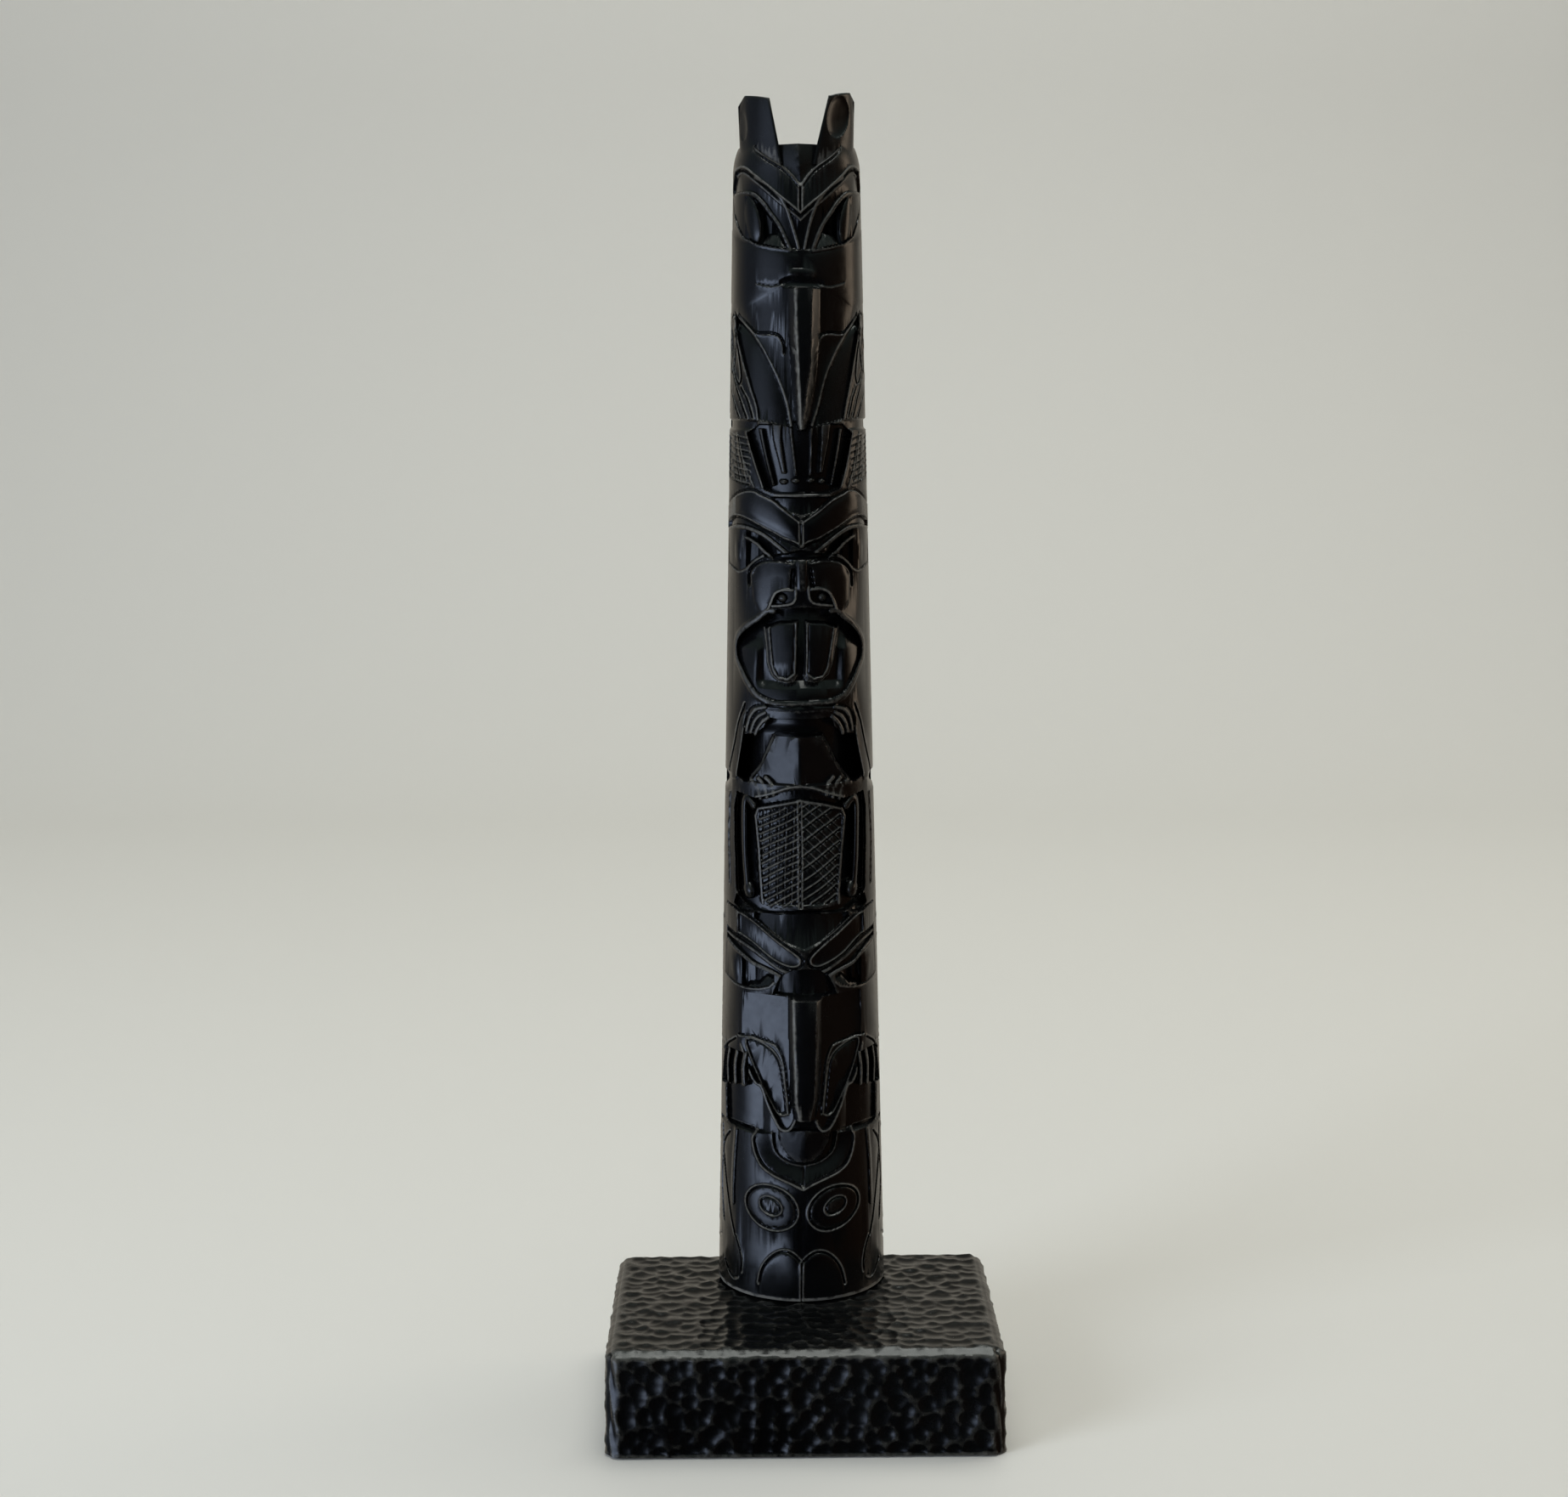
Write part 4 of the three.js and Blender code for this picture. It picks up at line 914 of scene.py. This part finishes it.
# Places of one half: the skin's point moved by its height. In front the move is along -Y, so that
# what is seen from the front stays where it was drawn; round the sides it is along the skin's normal.
def placesOf(relief):
    turn, z = np.meshgrid(relief.turn, relief.z)
    angle = np.radians(np.minimum(turn, 90))
    half = halfWidth(z)
    deep = poleSpec["frontRatio"] * half
    centre = poleBack - straightSide(z)
    x = half * np.sin(angle)
    y = centre - deep * np.cos(angle) + straightSide(z) * np.maximum(turn - 90, 0) / sideTurns
    nx, ny = deep * np.sin(angle), -half * np.cos(angle)
    size = np.hypot(nx, ny)
    nx, ny = nx / size, ny / size
    near, far = poleSpec["straightFrom"]
    mix = smoothStep((turn - near) / (far - near))
    dx, dy = mix * nx, mix * ny - (1 - mix)
    size = np.hypot(dx, dy)
    dx, dy = dx / size, dy / size
    reach = relief.h / np.maximum(dx * nx + dy * ny, poleSpec["leastFacing"])
    x, y = x + reach * dx, y + reach * dy
    low, share, inDepth = poleSpec["shoulder"]
    drawn = share * (np.clip(z - low, 0, None) / (poleSpec["headTop"] - low)) ** 2
    return x * (1 - drawn), y + drawn * np.clip(centre - y, 0, None) * inDepth, z


# Both halves and the back, which runs from the end of one straight side to the other with a small
# round at each corner, then a cap at each end.
def poleMesh(reliefs):
    halves = [placesOf(relief) for relief in reliefs]
    radius = poleSpec["cornerRadius"]
    across = np.linspace(1, -1, poleSpec["backColumns"])[None, :]
    xr, yr, zr = halves[0]
    xl, yl, zl = halves[1]
    edge = (xr[:, -1:] + xl[:, -1:]) / 2
    corner = np.clip((np.abs(across) * edge - (edge - radius)) / radius, 0, 1)
    uneven = 0.12 * np.sin(0.11 * zr[:, :1] + 5 * across) + 0.08 * np.sin(0.29 * zr[:, :1] - 3 * across)
    backX = across * (edge - poleSpec["cornerIn"] * corner)
    backY = poleBack - poleSpec["backIn"] + 0 * edge
    backY = backY - radius * (1 - np.sqrt(1 - 0.96 * corner**2)) - poleSpec["backIn"] * uneven**2
    keepSide = (yr < poleBack - poleSpec["sideStops"])[0]
    last = int(np.flatnonzero(keepSide)[-1]) + 1
    x = np.hstack([-xl[:, 1:last][:, ::-1], xr[:, :last], backX])
    y = np.hstack([yl[:, 1:last][:, ::-1], yr[:, :last], backY])
    z = np.hstack([zl[:, 1:last][:, ::-1], zr[:, :last], zr[:, :1] + 0 * backX])
    body = np.stack([x, y, z], -1)
    caps = []
    for end in (0, -1):
        ring = body[end]
        middle = ring.mean(0)
        cap = middle + (ring - middle) * np.array(poleSpec["caps"])[:, None, None]
        cap[..., 2] = ring[0, 2]
        caps.append(cap)
    grid = np.concatenate([caps[0][::-1], body, caps[1]])
    thing = meshObject("totem_pole_carved", grid.reshape(-1, 3), tubeQuads(len(grid), x.shape[1]))
    mergeClose(thing, poleSpec["weld"])
    return thing


# The carving's mark at each vertex of the finished mesh, read back by where the vertex is.
def markOn(mesh, reliefs):
    x, y, z = readVertices(mesh.vertices, "co").T.astype(float) / mm
    half = halfWidth(z)
    front = np.degrees(np.arcsin(np.clip(np.abs(x) / half, 0, 1)))
    beyond = y - (poleBack - straightSide(z))
    turn = np.where(beyond > 0, 90 + sideTurns * beyond / straightSide(z), front)
    values = np.zeros(len(x))
    for relief in reliefs:
        row = np.round(np.interp(z, relief.z, np.arange(len(relief.z)))).astype(int)
        column = np.round(np.interp(turn, relief.turn, np.arange(len(relief.turn)))).astype(int)
        here = (z < poleSpec["headTop"] - 0.5) & (beyond < straightSide(z) - 1)
        here &= np.sign(x) == relief.side
        values[here] = relief.mark[row, column][here]
    return values


ear = {
    "foot": [(4.4, 380.0), (17.0, 380.0)],
    "crown": {
        1: [(9.4, 400.3), (12.6, 401.2), (16.0, 401.8), (17.4, 399.2)],
        -1: [(8.2, 399.6), (12.0, 400.4), (15.6, 401.0), (17.6, 398.0)],
    },
    # Middle, half-sizes, lean in degrees and depth of the hollow in each ear's face.
    "scoop": {1: ((12.3, 394.2), (3.3, 6.3), 8, 1.5), -1: ((16.2, 392.2), (1.3, 4.6), 3, 0.9)},
    "depth": 15.0,
    "lean": 0.14,  # how far the back comes forward per millimetre of height
    "sunk": 1.9,  # how far the face lies behind the pole's skin
    "edge": 0.9,
    "fall": 0.7,  # share of the edge's round that is taken
    "grid": (40, 76, 10),  # columns, rows, and columns round each side
}


# One ear: a patch seen from the front, straight from its foot to its crown, carried back to a
# sloping rear.
def earMesh(side):
    across, up, sides = ear["grid"]
    u = np.linspace(0, 1, across)
    v = np.linspace(0, 1, up)[:, None]
    foot = np.array(ear["foot"], float)
    crown = np.array(ear["crown"][side], float)
    stretch = np.concatenate([[0], np.cumsum(np.hypot(*np.diff(crown, axis=0).T))])
    top = np.stack([np.interp(u * stretch[-1], stretch, crown[:, k]) for k in (0, 1)], -1)
    bottom = foot[0] + (foot[1] - foot[0]) * u[:, None]
    x = bottom[:, 0] * (1 - v) + top[:, 0] * v
    z = bottom[:, 1] * (1 - v) + top[:, 1] * v
    front = poleBack - straightSide(z) - skinAhead(x, z) + ear["sunk"]
    middle, size, tilt, deep = ear["scoop"][side]
    lean = math.radians(tilt)
    du = ((x - middle[0]) * math.cos(lean) - (z - middle[1]) * math.sin(lean)) / size[0]
    dv = ((x - middle[0]) * math.sin(lean) + (z - middle[1]) * math.cos(lean)) / size[1]
    front = front + deep * np.clip(1 - du**2 - dv**2, 0, 1) ** 0.6
    faceY = poleBack - poleSpec["depthRatio"] * halfWidth(poleSpec["headTop"]) + ear["sunk"]
    back = faceY + ear["depth"] - ear["lean"] * (z - poleSpec["headTop"]) + 0 * x

    # Round the face's border: towards the outline the face falls back over the edge width.
    near = np.minimum(np.minimum(x - x[:, :1], x[:, -1:] - x), top[:, 1][None, :] - z)
    fall = ear["edge"] * (1 - np.sqrt(np.clip(1 - (1 - np.clip(near / ear["edge"], 0, 1)) ** 2, 0, 1)))
    front = front + ear["fall"] * fall
    back = back - ear["fall"] * fall
    sideSteps = np.linspace(0, 1, sides)[1:-1]
    outer = front[:, -1:] + (back[:, -1:] - front[:, -1:]) * sideSteps
    inner = back[:, :1] + (front[:, :1] - back[:, :1]) * sideSteps
    ringX = np.hstack([x, x[:, -1:] + 0 * outer, x[:, ::-1], x[:, :1] + 0 * inner])
    ringY = np.hstack([front, outer, back[:, ::-1], inner])
    ringZ = np.hstack([z, z[:, -1:] + 0 * outer, z[:, ::-1], z[:, :1] + 0 * inner])
    grid = np.stack([ringX, ringY, ringZ], -1)

    # Both ends close onto the middle line of their ring.
    def closing(row, order):
        y0 = (ringY[row].max() + ringY[row].min()) / 2
        made = np.repeat(grid[row][None], len(order), 0)
        made[..., 1] = y0 + (made[..., 1] - y0) * np.array(order)[:, None]
        return made

    grid = np.concatenate([closing(0, (0.0, 0.5)), grid, closing(-1, (0.66, 0.33, 0.0))])
    if side < 0:
        grid[..., 0] *= -1
    thing = meshObject("ear", grid.reshape(-1, 3), tubeQuads(len(grid), grid.shape[1]))
    if side < 0:
        thing.data.flip_normals()
    mergeClose(thing, poleSpec["weld"])
    return thing


# Faces turned outwards: the volume is a sixth of the sum of a . (b x c) over the triangles, and a
# negative one means that they face in.
def facesOut(thing):
    mesh = thing.data
    mesh.calc_loop_triangles()
    corners = np.empty(len(mesh.loop_triangles) * 3, np.int32)
    mesh.loop_triangles.foreach_get("vertices", corners)
    places = readVertices(mesh.vertices, "co")
    a, b, c = places[corners.reshape(-1, 3)].transpose(1, 0, 2).astype(float)
    volume = (a * np.cross(b, c)).sum() / 6
    if volume < 0:
        mesh.flip_normals()
    return abs(volume)


reliefs = [carved(side) for side in (1, -1)]
pole = poleMesh(reliefs)
facesOut(pole)
ears = [earMesh(side) for side in (1, -1)]
for piece in ears:
    facesOut(piece)
unite(pole, ears)
print("pole carved:", len(pole.data.polygons), "faces,", round(facesOut(pole) * 1e9), "cubic mm")
finishMesh(pole, poleSpec)
storeOnVertices(pole.data, "mark", markOn(pole.data, reliefs))
print("pole thinned to", len(pole.data.polygons))


plinthSpec = {
    "step": 0.62,  # spacing of the working grid
    "scoopStep": 4.6,  # spacing of the adze marks
    "scoopCurve": 0.060,  # a mark's rise over the square of the distance from its middle
    "scoopUneven": 0.30,  # how much deeper one mark may be than the next
    "scoopDeep": 0.45,
    "scatter": 0.42,  # how far a mark may stray, as a share of their spacing
    "cut": 2.4,  # worn-down edge, across
    "footCut": 0.5,
    "corner": 4.0,
    "edgePower": 1.15,  # 1 is a flat slant, 2 a round
    "edgeShare": 0.2,  # how much of the adze marks' depth stays on the worn edges
    "edgeFull": 0.25,  # share of an edge's width over which they go down to that
    "draft": 0.4,  # how far the foot is wider than the top, each side
    "inset": 0.42,  # how far the top stays inside the box, each side
    "seatIn": 1.0,  # how far inside the pole's outline the marks stop
    "footFades": 2.0,  # height over which the marks start above the foot
    "weld": 0.01,
    "triangles": 180000,
    "breakAt": 40,
    "seed": 7,
}


# A block as six grids: its edges worn down, its sides hewn, its foot flat and a plain seat under the pole.
def plinthMesh(spec):
    low = np.array(plinthLow) / mm
    high = np.array(plinthHigh) / mm
    middle, half = (low + high) / 2, (high - low) / 2
    counts = np.maximum(2, np.round(2 * half / spec["step"]).astype(int))
    faces, quads, start = [], [], 0
    for axis in range(3):
        a, b = (axis + 1) % 3, (axis + 2) % 3
        for sign in (-1, 1):
            u = np.linspace(-1, 1, counts[a] + 1)
            v = np.linspace(-1, 1, counts[b] + 1)
            uu, vv = np.meshgrid(u, v, indexing="ij")
            face = np.empty(uu.shape + (3,))
            face[..., axis] = sign
            face[..., a], face[..., b] = uu, vv
            if sign < 0:
                face = face[::-1]
            rows, columns = face.shape[:2]
            row, column = np.meshgrid(np.arange(rows - 1), np.arange(columns - 1), indexing="ij")
            first = start + row * columns + column
            corners = [first, first + columns, first + columns + 1, first + 1]
            quads.append(np.stack(corners, -1).reshape(-1, 4))
            faces.append(face.reshape(-1, 3))
            start += rows * columns
    unit = np.concatenate(faces)
    place = unit * half

    # Edges: the part of a place beyond an inner box is drawn in, by a norm between a slant and a round.
    draft = spec["draft"] * (1 - (place[:, 2] / half[2])) / 2
    wander = 0.07 * np.sin(0.21 * place[:, 0] + 1) + 0.06 * np.sin(0.33 * place[:, 1])
    cuts = np.where(place[:, 2] > 0, spec["cut"] * (1 + wander), spec["footCut"])
    corner = spec["corner"] * (1 + 0.10 * np.sin(0.4 * place[:, 2] + place[:, 0]))
    limit = np.stack([half[0] - corner, half[1] - corner, half[2] - cuts], -1)
    inner = np.clip(place, -limit, limit)
    beyond = place - inner
    reach = np.stack([corner, corner, cuts], -1)
    part = np.abs(beyond) / reach
    power = spec["edgePower"]
    size = (part**power).sum(1) ** (1 / power)
    place = inner + beyond / np.maximum(size, 1e-9)[:, None]
    place[:, :2] *= 1 - (spec["inset"] - draft)[:, None] / half[:2]

    # Outward directions: the share of each axis in the edge's slant.
    out = np.sign(beyond) * part ** (power - 1) * (part > 1e-6)
    out /= np.maximum(np.linalg.norm(out, axis=1), 1e-9)[:, None]

    # Adze marks: bowls round scattered middles, and the lowest bowl at each place wins.
    random = np.random.default_rng(spec["seed"])
    gap = spec["scoopStep"]
    middles = []
    for axis, sign in ((0, -1), (0, 1), (1, -1), (1, 1), (2, 1)):
        a, b = (axis + 1) % 3, (axis + 2) % 3
        na, nb = int(2 * half[a] / gap), int(2 * half[b] / gap)
        ga, gb = np.meshgrid((np.arange(na) + 0.5) / na, (np.arange(nb) + 0.5) / nb, indexing="ij")
        spots = np.empty((na * nb, 3))
        spots[:, axis] = sign * half[axis]
        for k, share in ((a, ga), (b, gb)):
            stray = gap * spec["scatter"] * random.uniform(-1, 1, na * nb)
            spots[:, k] = (2 * share.ravel() - 1) * half[k] + stray
        middles.append(spots)
    middles = np.concatenate(middles)
    sunk = spec["scoopUneven"] * random.uniform(0, 1, len(middles))
    bend = spec["scoopCurve"] * random.uniform(0.6, 1.3, len(middles))
    pressed = np.empty(len(place))
    for first in range(0, len(place), 4000):
        some = place[first : first + 4000]
        apart = ((some[:, None] - middles[None]) ** 2).sum(2)
        pressed[first : first + 4000] = (bend * apart - sunk).min(1)
    pressed = np.minimum(pressed, spec["scoopDeep"]) - spec["scoopDeep"]
    ground = smoothStep((place[:, 2] + half[2]) / spec["footFades"])
    world = place + middle
    within = spec["seatIn"]
    centre = poleBack - straightSide(poleFoot)
    ahead = np.clip(centre - world[:, 1], 0, None) / (poleSpec["frontRatio"] * footHalf - within)
    inSeat = (np.hypot(world[:, 0] / (footHalf - within), ahead) < 1) & (unit[:, 2] > 0.999)
    inSeat &= world[:, 1] < poleBack - within
    onEdge = smoothStep(np.sort(part, 1)[:, 1] / spec["edgeFull"])
    amount = pressed * ground * (1 - (1 - spec["edgeShare"]) * onEdge)
    amount[inSeat | (unit[:, 2] < -0.999)] = 0
    place = world + out * amount[:, None]
    thing = meshObject("plinth_hewn", place, np.concatenate(quads))
    mergeClose(thing, spec["weld"])
    return thing


plinth = plinthMesh(plinthSpec)
facesOut(plinth)
print("plinth hewn:", len(plinth.data.polygons), "faces")
finishMesh(plinth, plinthSpec)


# A node's output that sums can be written with.
class Socket:
    def __init__(self, shader, link):
        self.shader = shader
        self.link = link

    def sum(self, operation, a, b):
        return self.shader.node("ShaderNodeMath", {"operation": operation}, {0: a, 1: b})

    def __add__(self, other):
        return self.sum("ADD", self, other)

    def __radd__(self, other):
        return self.sum("ADD", other, self)

    def __sub__(self, other):
        return self.sum("SUBTRACT", self, other)

    def __rsub__(self, other):
        return self.sum("SUBTRACT", other, self)

    def __mul__(self, other):
        return self.sum("MULTIPLY", self, other)

    def __rmul__(self, other):
        return self.sum("MULTIPLY", other, self)


class Shader:
    def __init__(self, tree):
        self.tree = tree
        tree.nodes.clear()

    # Any node: its settings first, then the values or links of its sockets. Returns its first output,
    # or the one that is named.
    def node(self, kind, settings=None, sockets=None, output=0):
        made = self.tree.nodes.new(kind)
        for name, value in (settings or {}).items():
            setattr(made, name, value)
        for name, value in (sockets or {}).items():
            if isinstance(value, Socket):
                self.tree.links.new(value.link, made.inputs[name])
            else:
                made.inputs[name].default_value = value
        return Socket(self, made.outputs[output]) if len(made.outputs) else None

    def noise(self, where, scale, detail):
        return self.node("ShaderNodeTexNoise", None, {"Vector": where, "Scale": scale, "Detail": detail})

    # From 0 where the value is at its low end to 1 at its high end, and flat beyond.
    def between(self, value, low, high):
        return self.node("ShaderNodeMapRange", {"clamp": True},
                         {"Value": value, "From Min": low, "From Max": high})

    def mixColour(self, share, a, b):
        return self.node("ShaderNodeMix", {"data_type": "RGBA"}, {0: share, 6: a, 7: b}, 2)


# What both finishes share.
grain = {
    "broad": (28.0, 3.0),  # each noise's scale and detail
    "fine": (900.0, 4.0),
    "scratches": (420.0, 2.0),
    "cut": 0.00012,  # depth of the finest scuffs, in metres
    "cloudFrom": (0.35, 0.7),
    # The pale convex edges are partly wear and partly a painted edge highlight; this noise breaks them up.
    "wearAndHighlightBreaks": (0.7, 1.25),  # noise between which wear comes and goes
    "roughBreaks": (0.25, 0.75),
    "roughFrom": (0.12, 1.0),
    "dullFrom": (0.4, 0.85),
    # Roughness added on the pale convex edges (wear and painted highlight), and on the tool marks.
    "duller": (0.12, 0.2),  # roughness added by wear, and by tool marks
}

resinLook = {
    "deep": (0.0012, 0.0013, 0.0017, 1.0),
    "cloudy": (0.0030, 0.0031, 0.0037, 1.0),
    # Colour of sharp convex edges: partly rubbed wear, partly a painted highlight where edges catch the
    # light.
    "wearAndEdgeHighlight": (0.045, 0.043, 0.039, 1.0),
    # Pale colour of the tool's rough rims and lips, also used as the painted highlight on the bills' left
    # edges.
    "toolMarkAndHighlight": (0.15, 0.145, 0.135, 1.0),  # rims and lips that the tool left rough
    "roughness": (0.17, 0.30),
    # The pale edges, wear with a painted highlight, start and are full at these turns of the surface.
    "wearAndHighlightFrom": (0.18, 0.9),  # how sharply the surface turns where wear starts, and where it is full
    "scuff": 0.12,
}

hewnLook = {
    "deep": (0.0012, 0.0013, 0.0015, 1.0),
    "cloudy": (0.0032, 0.0034, 0.0036, 1.0),
    # Colour of the adze marks' ridges and the block's edges: partly wear, partly a painted highlight where
    # they catch the light.
    "wearAndEdgeHighlight": (0.095, 0.092, 0.082, 1.0),
    "toolMarkAndHighlight": (0.06, 0.06, 0.055, 1.0),
    "roughness": (0.16, 0.30),
    "wearAndHighlightFrom": (0.05, 0.42),
    "scuff": 0.22,
}


def newMaterial(name):
    material = bpy.data.materials.new(name)
    material.use_nodes = True
    return material, Shader(material.node_tree)


# Black cast resin: faintly cloudy; paler on sharp convex edges, partly worn and partly a painted edge
# highlight; paler where the tool left its marks, with a painted highlight on the bills' left edges.
def resin(name, look):
    material, shader = newMaterial(name)
    where = shader.node("ShaderNodeTexCoord", None, None, "Object")
    turn = shader.node("ShaderNodeAttribute", {"attribute_name": "turn"}, None, "Fac")
    mark = shader.node("ShaderNodeAttribute", {"attribute_name": "mark"}, None, "Fac")
    broad, fine, scratches = (shader.noise(where, *grain[kind]) for kind in ("broad", "fine", "scratches"))
    # Pale convex edges: wear and a painted edge highlight together, broken up by noise.
    wearAndEdgeHighlight = shader.between(turn, *look["wearAndHighlightFrom"]) * shader.between(fine + broad, *grain["wearAndHighlightBreaks"])
    cloud = shader.between(broad, *grain["cloudFrom"])
    colour = shader.mixColour(cloud, look["deep"], look["cloudy"])
    colour = shader.mixColour(wearAndEdgeHighlight, colour, look["wearAndEdgeHighlight"])
    breaks = shader.between(fine * 0.7 + broad * 0.5, *grain["roughBreaks"])
    # Where the mark lies: rough tool marks, and the painted highlight on the bills' left edges.
    toolMarkAndHighlight = shader.between(mark * breaks, *grain["roughFrom"])
    colour = shader.mixColour(toolMarkAndHighlight, colour, look["toolMarkAndHighlight"])
    low, high = look["roughness"]
    dull = shader.between(broad * 0.6 + scratches * 0.6, *grain["dullFrom"])
    wearAndHighlightDull, roughDull = grain["duller"]
    roughness = low + (high - low) * dull + wearAndEdgeHighlight * wearAndHighlightDull + toolMarkAndHighlight * roughDull
    relief = {"Height": fine * 0.5 + scratches, "Strength": look["scuff"], "Distance": grain["cut"]}
    bump = shader.node("ShaderNodeBump", None, relief, "Normal")
    surface = shader.node("ShaderNodeBsdfPrincipled", None, {
        "Base Color": colour,
        "Roughness": roughness,
        "Normal": bump,
        "IOR": 1.5,
    })
    shader.node("ShaderNodeOutputMaterial", None, {"Surface": surface})
    return material


# The piece takes its material, stands for its node and rides on the one body.
def dress(thing, material, node):
    thing.data.materials.clear()
    thing.data.materials.append(material)
    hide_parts(node)
    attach(thing, "root")


dress(pole, resin("polished resin", resinLook), "totem_pole")
dress(plinth, resin("hewn resin", hewnLook), "plinth")
print("finishes set")


floorSpec = {
    "colour": (0.72, 0.70, 0.66, 1.0),
    "front": -2.5,
    "bend": 1.1,
    "radius": 0.6,
    "top": 2.6,
    "side": 3.0,
    "roughness": 0.8,
    "breakAt": 60,
}


# A sweep: flat floor, a quarter-round behind and a wall, carried from side to side.
def makeFloor(spec):
    turns = np.linspace(0, math.pi / 2, 24)
    bend, radius = spec["bend"], spec["radius"]
    y = np.concatenate([[spec["front"]], bend + radius * np.sin(turns), [bend + radius]])
    z = np.concatenate([[0], radius * (1 - np.cos(turns)), [spec["top"]]])
    x = np.array([-spec["side"], spec["side"]])
    grid = np.stack(np.broadcast_arrays(x[None, :], y[:, None], z[:, None]), -1).reshape(-1, 3)
    row = np.arange(len(y) - 1)
    quads = np.stack([2 * row, 2 * row + 1, 2 * row + 3, 2 * row + 2], -1)
    thing = meshObject("floor", grid / mm, quads)
    shadeSmooth(thing.data, spec["breakAt"])
    material, shader = newMaterial("pale floor")
    plain = {"Base Color": spec["colour"], "Roughness": spec["roughness"]}
    surface = shader.node("ShaderNodeBsdfPrincipled", None, plain)
    shader.node("ShaderNodeOutputMaterial", None, {"Surface": surface})
    thing.data.materials.append(material)
    thing.visible_glossy = False  # polished faces see the room below instead


lightSpec = [
    # name, place, aim, size, watts, colour, seen in polished faces
    ("window", (-1.30, -1.00, 0.62), (0, 0, 0.22), (0.7, 1.1), 18.0, (0.78, 0.88, 1.0), False),
    ("ceiling", (0.2, 0.25, 2.2), (0, 0.4, 0.0), (2.0, 1.4), 34.0, (0.97, 1.0, 0.95), True),
    ("lamp", (1.5, 0.5, 0.5), (0, 0, 0.25), (0.5, 0.9), 2.0, (1.0, 0.80, 0.60), True),
]


def addLight(name, place, aim, size, watts, colour, mirrored):
    data = bpy.data.lights.new(name, "AREA")
    data.shape = "RECTANGLE"
    data.size, data.size_y = size
    data.energy = watts
    data.color = colour
    light = bpy.data.objects.new(name, data)
    root.objects.link(light)
    towards = np.array(aim, float) - np.array(place, float)
    light.rotation_mode = "QUATERNION"
    light.rotation_quaternion = Vector(towards).to_track_quat("-Z", "Y")
    light.location = place
    light.visible_glossy = mirrored


roomSpec = {
    "pale": (0.115, 0.113, 0.108, 1.0),  # what lights the floor and stands behind it
    "dark": (0.003, 0.003, 0.004, 1.0),  # what polished faces reflect from in front
    "wall": (0.42, 0.39, 0.33, 1.0),
    "wallHigh": (0.13, 0.125, 0.105, 1.0),
    "left": (0.13, 0.15, 0.19, 1.0),
    "right": (0.055, 0.030, 0.017, 1.0),
    "above": (0.20, 0.27, 0.25, 1.0),
    "glow": (2.5, 3.0, 4.0, 1.0),  # a bright low surface to the front left
    "glowTowards": (-0.78, -0.63),
    # How far towards each side, as the share of a unit length, its colour starts and is full.
    "leftFrom": (0.72, 0.97),
    "rightFrom": (0.2, 0.85),
    "aboveFrom": (0.12, 0.8),
    "wallFrom": (0.25, 0.8),
    "wallHighFrom": (0.26, 0.56),
    "glowFrom": (0.76, 0.97),
    "glowUnder": (0.0, 0.14),
    "glowFades": (0.20, 0.33),
    "glowFadesBy": 0.65,
    "haze": (0.84, 0.99),
    "hazeShare": 0.14,
}


# The room as the polished faces see it: a pale wall behind, dim sides, a low bright patch to the
# front left and darkness elsewhere in front.
def makeWorld(spec):
    world = bpy.data.worlds.new("studio")
    bpy.context.scene.world = world
    world.use_nodes = True
    shader = Shader(world.node_tree)
    where = shader.node("ShaderNodeTexCoord", None, None, "Generated")
    x, y, z = (shader.node("ShaderNodeSeparateXYZ", None, {"Vector": where}, axis) for axis in "XYZ")
    colour = shader.mixColour(shader.between(0 - x, *spec["leftFrom"]), spec["dark"], spec["left"])
    colour = shader.mixColour(shader.between(x, *spec["rightFrom"]), colour, spec["right"])
    colour = shader.mixColour(shader.between(z, *spec["aboveFrom"]), colour, spec["above"])
    facing = x * spec["glowTowards"][0] + y * spec["glowTowards"][1]
    patch = shader.between(facing, *spec["glowFrom"]) * shader.between(0 - z, *spec["glowUnder"])
    patch = patch * (1 - spec["glowFadesBy"] * shader.between(0 - z, *spec["glowFades"]))
    patch = patch + shader.between(facing, *spec["haze"]) * spec["hazeShare"]
    colour = shader.mixColour(patch, colour, spec["glow"])
    wall = shader.mixColour(shader.between(z, *spec["wallHighFrom"]), spec["wall"], spec["wallHigh"])
    colour = shader.mixColour(shader.between(y, *spec["wallFrom"]), colour, wall)
    mirrored = shader.node("ShaderNodeLightPath", None, None, "Is Glossy Ray")
    colour = shader.mixColour(mirrored, spec["pale"], colour)
    surface = shader.node("ShaderNodeBackground", None, {"Color": colour})
    shader.node("ShaderNodeOutputWorld", None, {"Surface": surface})


makeFloor(floorSpec)
for row in lightSpec:
    addLight(*row)
makeWorld(roomSpec)
bpy.context.scene.view_settings.view_transform = "Standard"
print("floor and light set")
